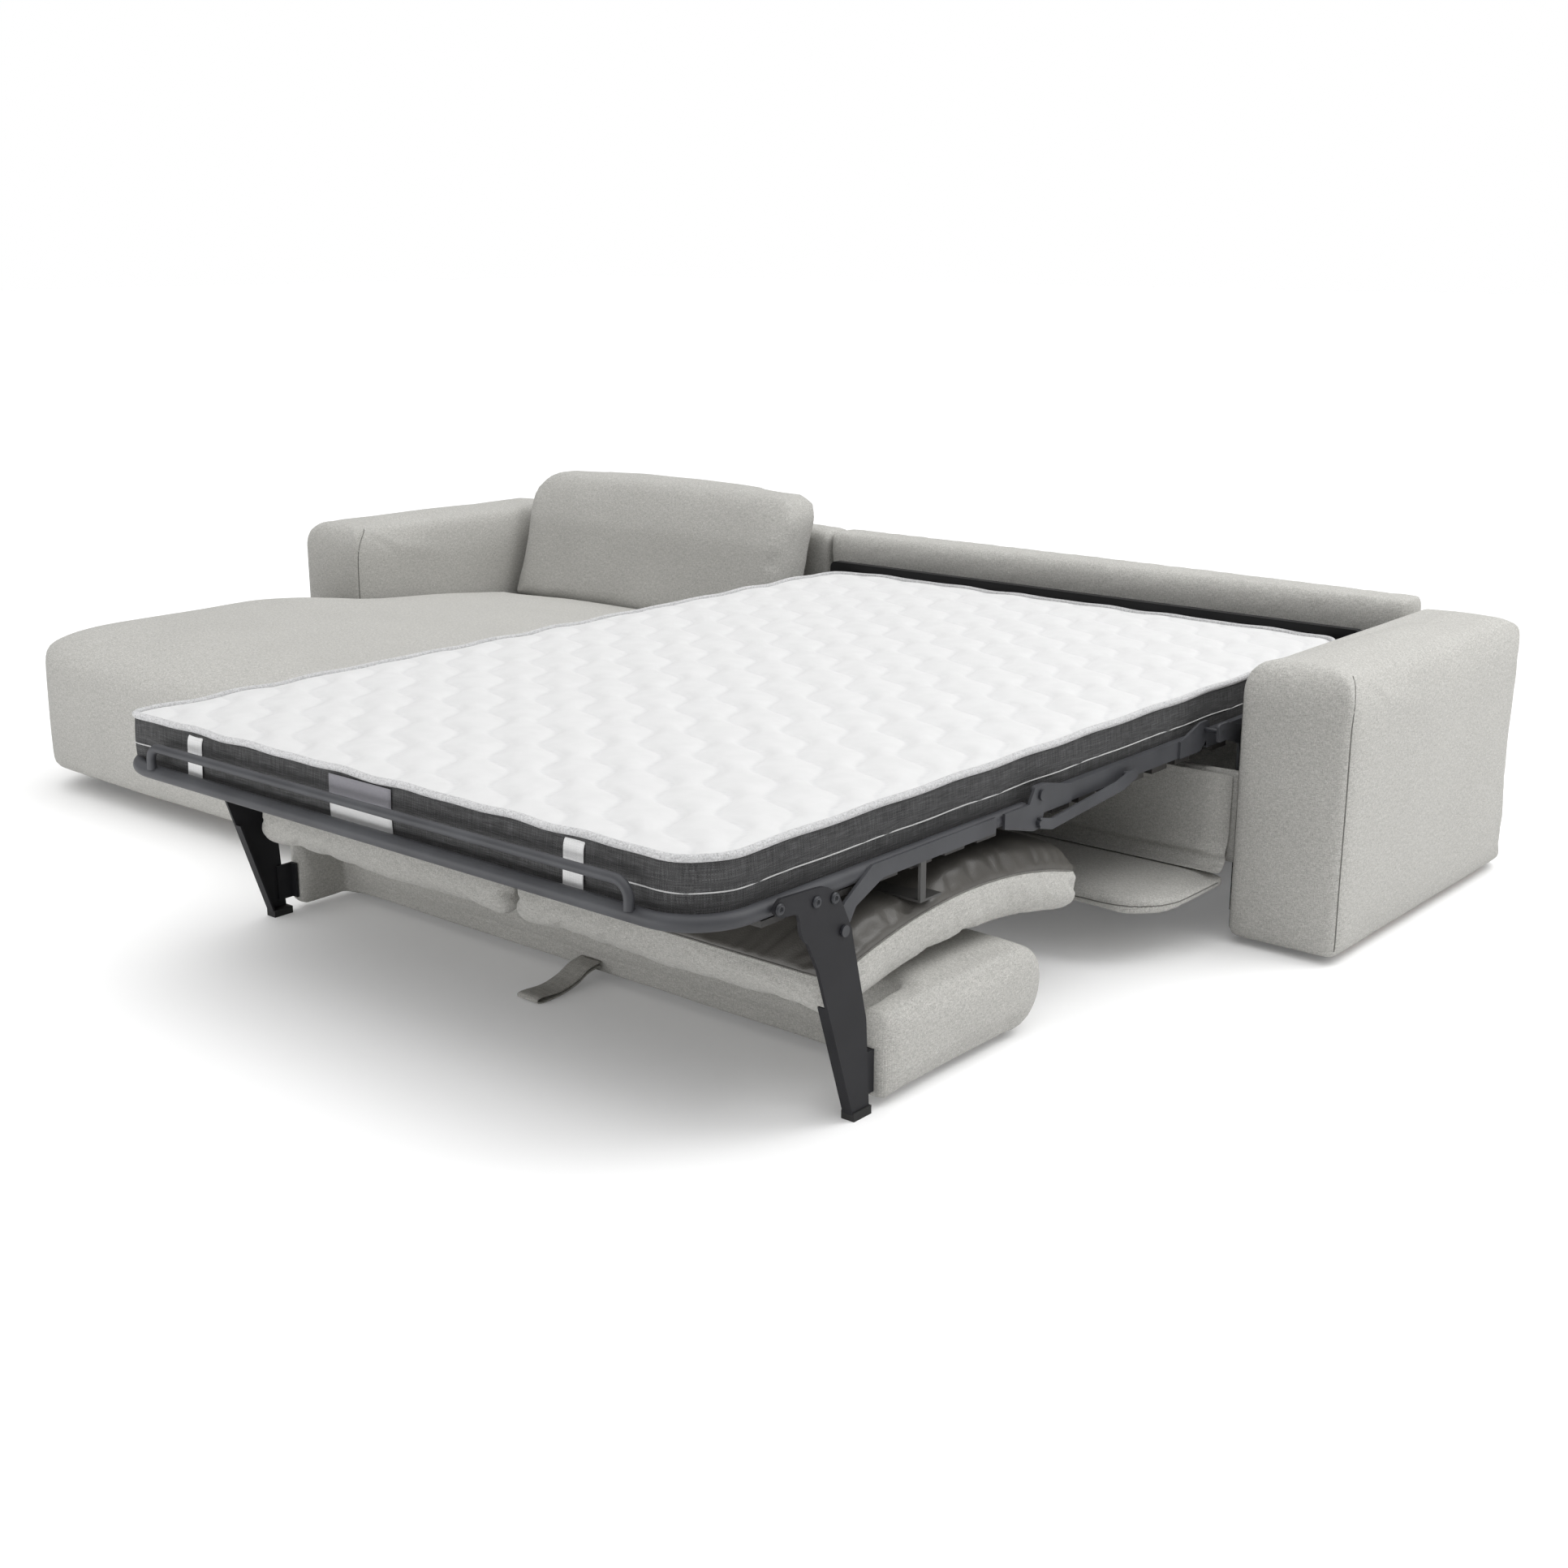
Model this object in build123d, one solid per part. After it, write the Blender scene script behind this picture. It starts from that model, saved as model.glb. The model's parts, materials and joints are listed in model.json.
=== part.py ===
"""Corner sofa bed, drawn with the bed folded out.

The chaise stands on the left, the bed bay on the right, between the chaise and the right arm.
Y runs from the mattress's foot edge to the sofa's rear, Z up from the floor. Bed pieces are drawn
about the bed's own middle line and moved to the bay, and every piece is then centred in depth.
All sizes are in millimetres.
"""
import os
from build123d import *

# Sofa body
arm_width = 235
arm_front = 1361
arm_clearance = 9
arm_edge_height = 517
arm_crown = 36
arm_skin = 38
board = 18
chaise_width = 995
chaise_front = 498
chaise_bottom = 14
chaise_edge_height = 374
chaise_crown = 31
chaise_skin = 70
chaise_frame_height = 215
chaise_deck_height = 300
back_thickness = 106
back_bottom = 30
back_height = 551
back_crown = 4
back_skin = 42
cushion_depth = 230
cushion_height = 355
cushion_lean = 143
cushion_inset = 10
glide_radius = 20
soft_gap = 0.3

# Bed: the three mattress sections and the rails that carry them
mattress_width = 1388
mattress_length = 2030
mattress_thickness = 106
mattress_crown = 7
mattress_clearance = 2
corner_clearance = 5
rail_centre_z = 382
foot_hinge_y = 795
foot_hinge_rise = 23
mid_hinge_y = 1359
mid_hinge_rise = 26
tube_radius = 13
tube_wall = 2
foot_tube_y = -20
foot_bend_radius = 100
rail_width = 14
rail_height = 32
rail_wall = 2
slat_width = 53
slat_thickness = 10
plate_thickness = 5
lug_margin = 12
hinge_plate_reach = 105
fold_lug_reach = 105
rear_lug_reach = 90
pivot_plate_height = 208
pivot_plate_reach = 110
pin_radius = 5
running_clearance = 0.05
side_clearance = 1
stud_setback = 9
stud_drop = 46
stop_arm_length = 304
stop_arm_depth = 19
stop_bar_radius = 8
stop_bar_rise = 50
stop_bar_overhang = 5
stop_bar_inset = 24
stop_bar_bend = 26
elastic_inset = 116
elastic_shift = -22
elastic_width = 42
elastic_thickness = 2
elastic_drop = 20
head_bar_thickness = 20
head_bar_rise = 17
head_room = 50
bed_side_room = 44.5

# Legs, backrest and seat pads under the foot section
leg_pivot_y = 263
leg_pivot_drop = 67
leg_thickness = 6
leg_foot_offset = 48
leg_foot_width = 38
leg_flange = 20
leg_flange_wall = 4
leg_flange_share = 0.75
leg_head_radius = 44
cap_height = 14
cap_wall = 2.5
rivet_radius = 9
rivet_height = 4
backrest_overhang = 20
backrest_gap = 16
backrest_depth = 442
backrest_height = 168
backrest_room = 1.4
ear_width = 50
ear_depth = 110
backrest_board_depth = 140
backrest_board_height = 90
bracket_drop = 75
bracket_height = 70
bracket_inset = 6
pull_strap_width = 60
pull_strap_thickness = 4
pull_strap_reach = 150
pull_strap_rise = 24
pad_drop = 75
pad_length = 694
pad_arch = 58
pad_board_thickness = 12
pad_board_inset = 2
pad_thickness = 84
pad_side_room = 2
pad_split = 3
pad_bar_setback = 227
pad_bar_width = 56
pad_bar_height = 4
pad_bar_tongue = 14

# Seat box and front flap
box_board = 20
box_bottom = 45
box_setback = 36
panel_setback = 2
panel_thickness = 30
panel_bottom = 146
panel_room = 34
flap_depth = 261
flap_gap = 8
flap_thickness = 43
flap_side_room = 12
flap_hinge_drop = 4
flap_hinge_radius = 4
flap_knuckle_radius = 7
flap_knuckle_length = 60
flap_knuckle_spacing = 420
flap_leaf_thickness = 6
flap_leaf_height = 30
flap_rod_overhang = 40

# Places across the bed, from its middle line outwards
tube_half_span = mattress_width / 2 + mattress_clearance + tube_radius
tube_outer = tube_half_span + tube_radius
rail_outer = tube_outer - plate_thickness - side_clearance
rail_inner = rail_outer - rail_width
lug_outer = rail_outer + plate_thickness
carrier_outer = tube_outer + plate_thickness
outer_plane = carrier_outer + side_clearance
leg_outer = outer_plane + leg_thickness
stop_bar_half_span = tube_half_span - foot_bend_radius - stop_bar_inset
elastic_offset = stop_bar_half_span - elastic_inset
backrest_half_width = leg_outer + backrest_overhang
pad_half_width = tube_outer - pad_side_room
half_bay = leg_outer + bed_side_room
flap_half_width = half_bay - flap_side_room
box_side_outer = half_bay - soft_gap
box_side_inner = box_side_outer - box_board
side_plate_inner = box_side_inner - plate_thickness

# Places across the sofa, from its middle
total_width = 2 * arm_width + chaise_width + 2 * half_bay
left_side = -total_width / 2
chaise_left = left_side + arm_width
chaise_side = chaise_left + chaise_width
bed_middle = chaise_side + half_bay
bay_right = bed_middle + half_bay

# Places in depth, from the mattress's foot edge
mattress_corner = foot_bend_radius - tube_radius + corner_clearance
stop_bar_y = foot_tube_y - tube_radius + stop_bar_radius - stop_bar_overhang
stud_y = foot_hinge_y - stud_setback
leg_foot_y = leg_pivot_y + leg_foot_offset
pad_front = leg_pivot_y
pad_rear = pad_front + pad_length
pad_bar_y = pad_front + pad_bar_setback
backrest_front = leg_foot_y + leg_foot_width / 2 + cap_wall + backrest_gap
backrest_rear = backrest_front + backrest_depth
recess_y = backrest_front + ear_depth
box_front = mid_hinge_y + box_setback
panel_front = box_front + panel_setback
panel_rear = panel_front + panel_thickness
flap_hinge_y = panel_front - flap_knuckle_radius - side_clearance
flap_rear = flap_hinge_y - flap_knuckle_radius - side_clearance
flap_front = flap_rear - flap_depth
back_front = mattress_length + soft_gap + head_bar_thickness + head_room
sofa_rear = back_front + back_thickness
seat_rear = back_front - cushion_depth - soft_gap
depth_middle = (sofa_rear + stop_bar_y - stop_bar_radius) / 2

# Heights above the floor
rail_bottom = rail_centre_z - tube_radius
rail_top = rail_bottom + rail_height
tube_top = rail_centre_z + tube_radius
mattress_bottom = rail_bottom + soft_gap
mattress_top = mattress_bottom + mattress_thickness
foot_hinge_z = rail_centre_z + foot_hinge_rise
mid_hinge_z = rail_centre_z + mid_hinge_rise
stud_z = foot_hinge_z - stud_drop
stop_bar_z = rail_centre_z + stop_bar_rise
head_bar_height = mattress_top + head_bar_rise
leg_pivot_z = rail_centre_z - leg_pivot_drop
pad_top = rail_centre_z - pad_drop
panel_top = rail_bottom - slat_thickness - panel_room
flap_bottom = panel_bottom - flap_gap - flap_thickness
flap_hinge_z = panel_bottom - flap_hinge_drop
chaise_peak = chaise_edge_height + chaise_crown

# Cuts that only have to pass right through
endless = 6000
overshoot = 1


def block(x, y, z):
    """Return a box from three (low, high) pairs."""
    size = [high - low for low, high in (x, y, z)]
    return Pos(x[0], y[0], z[0]) * Box(*size, align=(Align.MIN, Align.MIN, Align.MIN))


def soft_outline(low, high, bulge=(0, 0, 0, 0), radius=(0, 0, 0, 0)):
    """Return a rectangle whose sides swell by bulge (bottom, right, top, left) with round corners."""
    (left, bottom), (right, top) = low, high
    corners = [Vector(left, bottom), Vector(right, bottom), Vector(right, top), Vector(left, top)]
    outward = [Vector(0, -1), Vector(1, 0), Vector(0, 1), Vector(-1, 0)]
    edges = []
    for side in range(4):
        start, end = corners[side], corners[(side + 1) % 4]
        if bulge[side]:
            edges.append(ThreePointArc(start, (start + end) / 2 + outward[side] * bulge[side], end))
        else:
            edges.append(Line(start, end))
    face = Face(Wire(edges))
    for corner, corner_radius in zip(corners, radius):
        if corner_radius:
            nearest = face.vertices().sort_by_distance(corner)[0]
            face = face.fillet_2d(corner_radius, [nearest])
    return face


def soft_solid(plan, front, side):
    """Return what three outlines, drawn through from above, from the front and from the side, share."""
    solid = extrude(Plane.XY * plan, endless, both=True)
    solid &= extrude(Plane.XZ * front, endless, both=True)
    solid &= extrude(Plane.YZ * side, endless, both=True)
    return solid.solid()


def plate(points, inner, outer, round_points=(), corner_radius=0):
    """Return a flat plate from a (y, z) outline, from x inner to x outer, with some corners rounded."""
    face = Face(Wire(Polyline(*points, close=True).edges()))
    for point in round_points:
        nearest = face.vertices().sort_by_distance(Vector(*point))[0]
        face = face.fillet_2d(corner_radius, [nearest])
    return extrude(Plane.YZ.offset(inner) * face, outer - inner, dir=(1, 0, 0))


def rod(y, z, inner, outer, radius):
    """Return a round bar along X."""
    return extrude(Plane.YZ.offset(inner) * Pos(y, z) * Circle(radius), outer - inner)


def both_sides(solid):
    """Return a solid and its mirror image across the bed's middle line."""
    return [solid, mirror(solid, about=Plane.YZ)]


def rail(start, end):
    """Return one rectangular tube of the bed's right side, open at its ends."""
    outer = block((rail_inner, rail_outer), (start, end), (rail_bottom, rail_top))
    hollow = block(
        (rail_inner + rail_wall, rail_outer - rail_wall),
        (start - overshoot, end + overshoot),
        (rail_bottom + rail_wall, rail_top - rail_wall),
    )
    return outer - hollow


def slats(start, end, count):
    """Return evenly spaced cross slats that touch the underside of the rails."""
    pitch = (end - start - slat_width) / (count - 1)
    depth = (rail_bottom - slat_thickness, rail_bottom)
    reach = (-rail_outer, rail_outer)
    return [block(reach, (start + i * pitch, start + i * pitch + slat_width), depth) for i in range(count)]


def arm_cover():
    """Return the right upholstered arm: a rounded box with a crowned top, hollow for its frame."""
    low_x, high_x = bay_right, bay_right + arm_width
    front_radius, rear_radius, top_radius, bottom_radius = 42, 70, 56, 24
    swell, spare = 6, 1
    plan = soft_outline(
        (low_x, arm_front), (high_x - swell, sofa_rear), (0, swell, 0, 0),
        (front_radius, front_radius, rear_radius, rear_radius),
    )
    front = soft_outline(
        (low_x, arm_clearance), (high_x + spare, arm_edge_height + arm_crown), (0, 0, 0, 0),
        (bottom_radius, bottom_radius, top_radius, top_radius),
    )
    side = soft_outline(
        (arm_front, arm_clearance), (sofa_rear, arm_edge_height), (0, 0, arm_crown, 0),
        (bottom_radius, bottom_radius, 1.5 * top_radius, top_radius),
    )
    return soft_solid(plan, front, side) - block(*arm_hollow())


def arm_hollow():
    """Return the box inside the right arm's cover that its timber frame fills."""
    x = (bay_right + arm_skin, bay_right + arm_width - arm_skin)
    y = (arm_front + 2 * arm_skin, sofa_rear - 2 * arm_skin)
    return x, y, (arm_clearance, arm_edge_height - 2 * arm_skin)


def arm_frame():
    """Return the four boards of the right arm's timber frame."""
    (low_x, high_x), y, (low_z, high_z) = arm_hollow()
    return [
        block((low_x, high_x), y, (low_z, low_z + board)),
        block((low_x, high_x), y, (high_z - board, high_z)),
        block((low_x, low_x + board), y, (low_z + board, high_z - board)),
        block((high_x - board, high_x), y, (low_z + board, high_z - board)),
    ]


def chaise_seat():
    """Return the chaise's padded seat: a deck at its rear, cut back round the left arm, hollow below."""
    corner, edge, brow, foot, swell = 170, 130, 190, 40, 12
    plan = soft_outline(
        (left_side, chaise_front + swell), (chaise_side - soft_gap, seat_rear), (swell, 0, 0, 0),
        (corner, edge, 0, 0),
    )
    front = soft_outline(
        (left_side, chaise_bottom), (chaise_side - soft_gap, chaise_edge_height), (0, 0, chaise_crown, 0),
        (foot, foot, foot, edge),
    )
    side = soft_outline(
        (chaise_front, chaise_bottom), (seat_rear, chaise_peak), (0, 0, 0, 0), (2 * foot, 0, 1.2 * brow, brow)
    )
    deck = block(
        (chaise_left, chaise_side - soft_gap), (arm_front, back_front - soft_gap),
        (chaise_bottom, chaise_deck_height),
    )
    arm_space = block(
        (left_side - edge, chaise_left + soft_gap), (arm_front - soft_gap, sofa_rear), (0, arm_edge_height)
    )
    return (soft_solid(plan, front, side) + deck - arm_space - block(*chaise_hollow())).solid()


def chaise_hollow():
    """Return the box under the chaise's seat that its timber frame fills."""
    return (
        (chaise_left + chaise_skin, chaise_side - chaise_skin),
        (chaise_front + 2 * chaise_skin, back_front - chaise_skin),
        (chaise_bottom, chaise_frame_height),
    )


def chaise_frame():
    """Return the chaise's timber frame: a ring of boards with two cross rails."""
    (x0, x1), (y0, y1), z = chaise_hollow()
    boards = [block((x0, x1), (y0, y0 + board), z), block((x0, x1), (y1 - board, y1), z)]
    boards += [block((x0, x0 + board), (y0 + board, y1 - board), z)]
    boards += [block((x1 - board, x1), (y0 + board, y1 - board), z)]
    for share in (1 / 3, 2 / 3):
        middle = y0 + share * (y1 - y0)
        boards.append(block((x0 + board, x1 - board), (middle - board / 2, middle + board / 2), z))
    return boards


def back_panel(low_x, high_x):
    """Return one stretch of the low upholstered back, hollow for its board."""
    top_radius, bottom_radius, end_radius = 32, 12, 10
    plan = soft_outline(
        (low_x, back_front), (high_x, sofa_rear), (0, 0, 0, 0),
        (end_radius, end_radius, end_radius, end_radius),
    )
    front = soft_outline(
        (low_x, back_bottom), (high_x, back_height), (0, 0, back_crown, 0), (0, 0, end_radius, end_radius)
    )
    side = soft_outline(
        (back_front, back_bottom), (sofa_rear, back_height + back_crown), (0, 0, 0, 0),
        (bottom_radius, bottom_radius, top_radius, top_radius),
    )
    return soft_solid(plan, front, side) - back_board(low_x, high_x)


def back_board(low_x, high_x):
    """Return the board inside one stretch of the back."""
    y = (back_front + back_skin, sofa_rear - back_skin)
    return block((low_x + back_skin, high_x - back_skin), y, (back_bottom, back_height - back_skin))


def chaise_cushion():
    """Return the thick back cushion of the chaise: a crowned wedge that leans back, with round corners."""
    bottom = chaise_deck_height + soft_gap
    top = bottom + cushion_height
    low_x, high_x = chaise_left + cushion_inset, chaise_side - cushion_inset
    high_y = back_front - soft_gap
    low_y = seat_rear + soft_gap
    swell, corner, upper, seam = 16, 60, 90, 34
    plan = soft_outline(
        (low_x + swell, low_y), (high_x - swell, high_y), (0, swell, 0, swell), (corner, corner, seam, seam)
    )
    front = soft_outline((low_x, bottom), (high_x, top - swell), (0, 0, swell, 0), (seam, seam, upper, upper))
    foot, brow = Vector(low_y, bottom), Vector(low_y + cushion_lean, top)
    belly = (foot + brow) / 2 + Vector(-1, cushion_lean / cushion_height) * swell
    profile = Face(Wire([
        ThreePointArc(brow, belly, foot), Line(foot, Vector(high_y, bottom)),
        Line(Vector(high_y, bottom), Vector(high_y, top)), Line(Vector(high_y, top), brow),
    ]))
    for point, radius in ((foot, seam), (Vector(high_y, top), seam / 2), (brow, corner)):
        profile = profile.fillet_2d(radius, [profile.vertices().sort_by_distance(point)[0]])
    return soft_solid(plan, front, profile)


def mattress():
    """Return the whole mattress: swelling sides, a low crown and round corners."""
    half, edge, corner, swell = mattress_width / 2, 20, mattress_corner, 5
    plan = soft_outline((-half, 0), (half, mattress_length), (0, 0, 0, 0), (corner, corner, corner, corner))
    edge_height = mattress_top - mattress_crown
    front = soft_outline(
        (-half + swell, mattress_bottom), (half - swell, edge_height), (0, swell, mattress_crown, swell),
        (edge, edge, edge, edge),
    )
    side = soft_outline(
        (swell, mattress_bottom), (mattress_length - swell, mattress_top), (0, swell, 0, swell),
        (edge, edge, edge, edge),
    )
    return soft_solid(plan, front, side)


def mattress_section(whole, start, end):
    """Return the stretch of the mattress between two folds."""
    return (whole & block((-endless, endless), (start, end), (0, endless))).solid()


def foot_frame():
    """Return the bent tube round the foot section, from hinge to hinge."""
    end = foot_hinge_y - 2 * tube_radius
    path = FilletPolyline(
        (tube_half_span, end, rail_centre_z), (tube_half_span, foot_tube_y, rail_centre_z),
        (-tube_half_span, foot_tube_y, rail_centre_z), (-tube_half_span, end, rail_centre_z),
        radius=foot_bend_radius,
    )
    section = Plane(path @ 0, z_dir=path % 0) * (Circle(tube_radius) - Circle(tube_radius - tube_wall))
    return sweep(section, path)


def stop_bar():
    """Return the bar that keeps the mattress's foot end in place, its ends bent down to the tube."""
    seat_z = tube_top - stop_bar_radius / 2
    path = FilletPolyline(
        (stop_bar_half_span, stop_bar_y, seat_z), (stop_bar_half_span, stop_bar_y, stop_bar_z),
        (-stop_bar_half_span, stop_bar_y, stop_bar_z), (-stop_bar_half_span, stop_bar_y, seat_z),
        radius=stop_bar_bend,
    )
    bar = sweep(Plane(path @ 0, z_dir=path % 0) * Circle(stop_bar_radius), path)
    return bar - rod(foot_tube_y, rail_centre_z, -tube_half_span, tube_half_span, tube_radius)


def elastic_strap(middle):
    """Return one elastic band from the mattress's foot edge down behind the stop bar to the tube."""
    reach = (middle - elastic_width / 2, middle + elastic_width / 2)
    z = (rail_centre_z, mattress_top - elastic_drop)
    return block(reach, (-soft_gap - elastic_thickness, -soft_gap), z)


def hinge_plate():
    """Return the plate at the end of the foot tube that turns on the fold pin."""
    y, z = foot_hinge_y, foot_hinge_z
    lug, start = pin_radius + lug_margin, y - hinge_plate_reach
    drop = stud_drop + lug_margin
    points = [
        (start, rail_bottom), (start, tube_top), (y - 2 * lug, tube_top), (y - lug, z + lug),
        (y + lug, z + lug), (y + lug, z - lug), (y, z - drop), (y - stud_setback - lug_margin, z - drop),
    ]
    solid = plate(points, tube_outer, carrier_outer, points[3:7], lug / 3)
    return solid - rod(y, z, 0, endless, pin_radius + running_clearance)


def rail_lug(y, z, reach, bore):
    """Return the plate on the outer face of a middle rail that goes from the rail to a pin at (y, z)."""
    lug = pin_radius + lug_margin - side_clearance
    toward = 1 if reach > 0 else -1
    points = [
        (y - toward * lug, z - lug), (y - toward * lug, z + lug), (y + toward * lug, z + lug),
        (y + reach, rail_top), (y + reach, rail_bottom), (y + toward * lug, rail_bottom),
    ]
    solid = plate(points, rail_outer, lug_outer, points[:3], lug / 2)
    return solid - rod(y, z, 0, endless, bore)


def stop_arm():
    """Return the flat bar of the middle section whose hooked end bears on the foot section's stud."""
    depth, rear_y = stop_arm_depth, stud_y + stop_arm_length
    points = [
        (stud_y, stud_z + depth / 2), (stud_y, stud_z - depth / 2), (stud_y + 2 * depth, stud_z - depth),
        (rear_y - 2 * depth, rail_bottom - depth / 2), (rear_y + depth / 2, rail_bottom + depth / 4),
        (rear_y + depth / 2, rail_bottom + depth), (rear_y - depth, rail_bottom + depth),
        (rear_y - 3 * depth, rail_bottom + depth / 2), (stud_y + 2 * depth, stud_z),
    ]
    bar = plate(points, outer_plane, outer_plane + plate_thickness, points[2:6], depth / 3)
    spacer = rod(rear_y - depth / 2, rail_bottom + depth / 2, rail_outer, outer_plane, depth / 3)
    return (bar + spacer) - rod(stud_y, stud_z, 0, endless, pin_radius + side_clearance)


def leg_carrier():
    """Return the bent flat bar that runs along the foot tube and carries the leg's pivot."""
    y, z = leg_pivot_y, leg_pivot_z
    lug = pin_radius + 2 * lug_margin / 3
    rear = foot_hinge_y - 10 * lug
    points = [
        (y - lug, z - lug), (y - lug, z + lug), (y + lug, z + 3 * lug), (y + 6 * lug, tube_top),
        (rear, tube_top), (rear, rail_bottom), (y + 8 * lug, rail_bottom), (y + 3 * lug, z + 2 * lug),
        (y + lug, z - lug),
    ]
    bar = plate(points, tube_outer, carrier_outer, points[:4] + points[6:], lug / 2)
    return bar - rod(y, z, 0, endless, pin_radius)


def leg():
    """Return one leg: a plate with a round head that narrows to its foot, with a folded front edge."""
    y, z = leg_pivot_y, leg_pivot_z
    toe, heel = leg_foot_y - leg_foot_width / 2, leg_foot_y + leg_foot_width / 2
    sole = cap_wall
    stem = leg_foot_width / 4
    points = [
        (toe, sole), (heel, sole), (heel - stem, z / 2), (y + stem * 2, z), (y - stem, z + 6 * stem),
        (y - 6 * stem, z + 8.5 * stem), (y - 15 * stem, z + 9 * stem), (y - 17 * stem, z + 7.5 * stem),
        (y - 15 * stem, z + 6 * stem), (y - 11 * stem, z + 5.6 * stem), (y - 9.5 * stem, z + 2 * stem),
        (y - 6 * stem, z - 5 * stem),
    ]
    solid = plate(points, outer_plane, leg_outer, points[3:12], stem)
    solid += rod(y - 5.8 * stem, z + 3.8 * stem, outer_plane, leg_outer, leg_head_radius)
    tip, knee = Vector(*points[0]), Vector(*points[-1])
    reach = tip + (knee - tip) * leg_flange_share
    flange = [
        (toe, sole), (reach.X, reach.Y), (reach.X + leg_flange_wall, reach.Y), (toe + leg_flange_wall, sole),
    ]
    solid += plate(flange, leg_outer - leg_flange, outer_plane)
    return solid - rod(y, z, 0, endless, pin_radius + running_clearance)


def leg_cap(leg_solid):
    """Return the rubber cap under one leg."""
    toe, heel = leg_foot_y - leg_foot_width / 2 - cap_wall, leg_foot_y + leg_foot_width / 2 + cap_wall
    shoe = block((leg_outer - leg_flange - cap_wall, leg_outer + cap_wall), (toe, heel), (0, cap_height))
    return (shoe - leg_solid).solids().sort_by(SortBy.VOLUME)[-1]


def leg_rivets():
    """Return the round rivet heads on the outer face of one leg."""
    y, z, stem = leg_pivot_y, leg_pivot_z, leg_foot_width / 4
    places = [(-6.7, 6.4), (-2.3, 5.9), (-15.3, 7.5)]
    return [
        rod(y + dy * stem, z + dz * stem, leg_outer, leg_outer + rivet_height, rivet_radius)
        for dy, dz in places
    ]


def leg_pin():
    """Return the pin on which one leg turns, with its head outside the leg."""
    head_start = leg_outer + side_clearance
    shaft = rod(leg_pivot_y, leg_pivot_z, tube_outer, head_start, pin_radius)
    return shaft + rod(leg_pivot_y, leg_pivot_z, head_start, head_start + rivet_height, rivet_radius)


def stop_stud():
    """Return the stud on the hinge plate that the middle section's hooked bar bears on."""
    return rod(stud_y, stud_z, carrier_outer, outer_plane + plate_thickness + 2 * side_clearance, pin_radius)


def fold_pin():
    """Return the pin that joins the middle rail to the foot section's hinge plate."""
    head_start = carrier_outer + side_clearance
    shaft = rod(foot_hinge_y, foot_hinge_z, rail_outer, head_start, pin_radius)
    return shaft + rod(foot_hinge_y, foot_hinge_z, head_start, head_start + rivet_height, rivet_radius)


def base_pin():
    """Return the pin in the seat box's side plate on which the middle rail turns."""
    return rod(mid_hinge_y, mid_hinge_z, rail_outer, box_side_inner, pin_radius)


def side_plate():
    """Return the steel plate on the seat box's side that holds the bed's rear pivot."""
    y, z = mid_hinge_y, mid_hinge_z
    lug, foot, rear = pin_radius + lug_margin, z - pivot_plate_height, y + pivot_plate_reach
    points = [
        (y - lug, z - lug), (y - lug, z + lug), (y + lug, z + lug), (rear, rail_top),
        (rear, foot), (panel_rear, foot), (panel_rear, z - 2 * lug), (y + lug, z - lug),
    ]
    solid = plate(points, side_plate_inner, box_side_inner, points[:3], lug / 2)
    return solid - rod(y, z, 0, endless, pin_radius)


def backrest_span():
    """Return the heights of the backrest's bottom and top, just under the seat pads' front."""
    top = pad_arc_z(backrest_front, pad_board_thickness + pad_thickness) - backrest_room
    return top - backrest_height, top


def backrest():
    """Return the backrest block: round along its rear, with an ear standing forward at each end."""
    bottom, top = backrest_span()
    nose, swell, edge = 0.49 * backrest_height, 10, 16
    half = backrest_half_width
    side = soft_outline(
        (backrest_front, bottom), (backrest_rear, top - swell), (0, 0, swell, 0),
        (edge, nose, 0.88 * nose, edge),
    )
    body = extrude(Plane.YZ.offset(-half) * side, 2 * half)
    ends = body.faces().sort_by(Axis.X)
    body = fillet(ends[0].edges() + ends[-1].edges(), edge)
    recess = block((ear_width - half, half - ear_width), (0, recess_y), (0, top))
    return body - recess - backrest_board()


def backrest_board():
    """Return the board set into the backrest's recessed face."""
    bottom, top = backrest_span()
    middle = (bottom + top) / 2
    reach = backrest_half_width - 2 * ear_width
    z = (middle - backrest_board_height / 2, middle + backrest_board_height / 2)
    return block((-reach, reach), (recess_y, recess_y + backrest_board_depth), z)


def backrest_bracket():
    """Return the angle bracket between one leg and the ear behind it."""
    high = backrest_span()[1] - bracket_drop
    z = (high - bracket_height, high)
    tab = block((outer_plane - plate_thickness, outer_plane), (leg_foot_y, backrest_front), z)
    start = backrest_half_width - ear_width + bracket_inset
    flange = block((start, outer_plane), (backrest_front - plate_thickness, backrest_front), z)
    return tab + flange


def pull_strap():
    """Return the webbing loop that hangs from the recessed face and lies on the floor in front of it."""
    y, z, t = recess_y, backrest_span()[0] + pull_strap_rise, pull_strap_thickness
    near, far, end = y - 0.4 * pull_strap_reach, y - 0.67 * pull_strap_reach, y - pull_strap_reach
    points = [
        (y, z), (y, z + 2 * t), (y - 3 * t, z + t), (near, 4 * t), (far, 2.5 * t), (end, 2.5 * t),
        (end - t, 1.5 * t), (end, t / 2), (far, t / 2), (near, 2 * t), (y - 4 * t, z - t),
    ]
    return plate(points, -pull_strap_width / 2, pull_strap_width / 2, points[3:10], t / 2)


def pad_arc_z(y, drop):
    """Return the height at y of the seat pad's arch, drop below its top."""
    half = (pad_rear - pad_front) / 2
    radius = (half**2 + pad_arch**2) / (2 * pad_arch)
    offset = y - (pad_front + pad_rear) / 2
    return pad_top - radius + ((radius - drop) ** 2 - offset**2) ** 0.5


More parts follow.
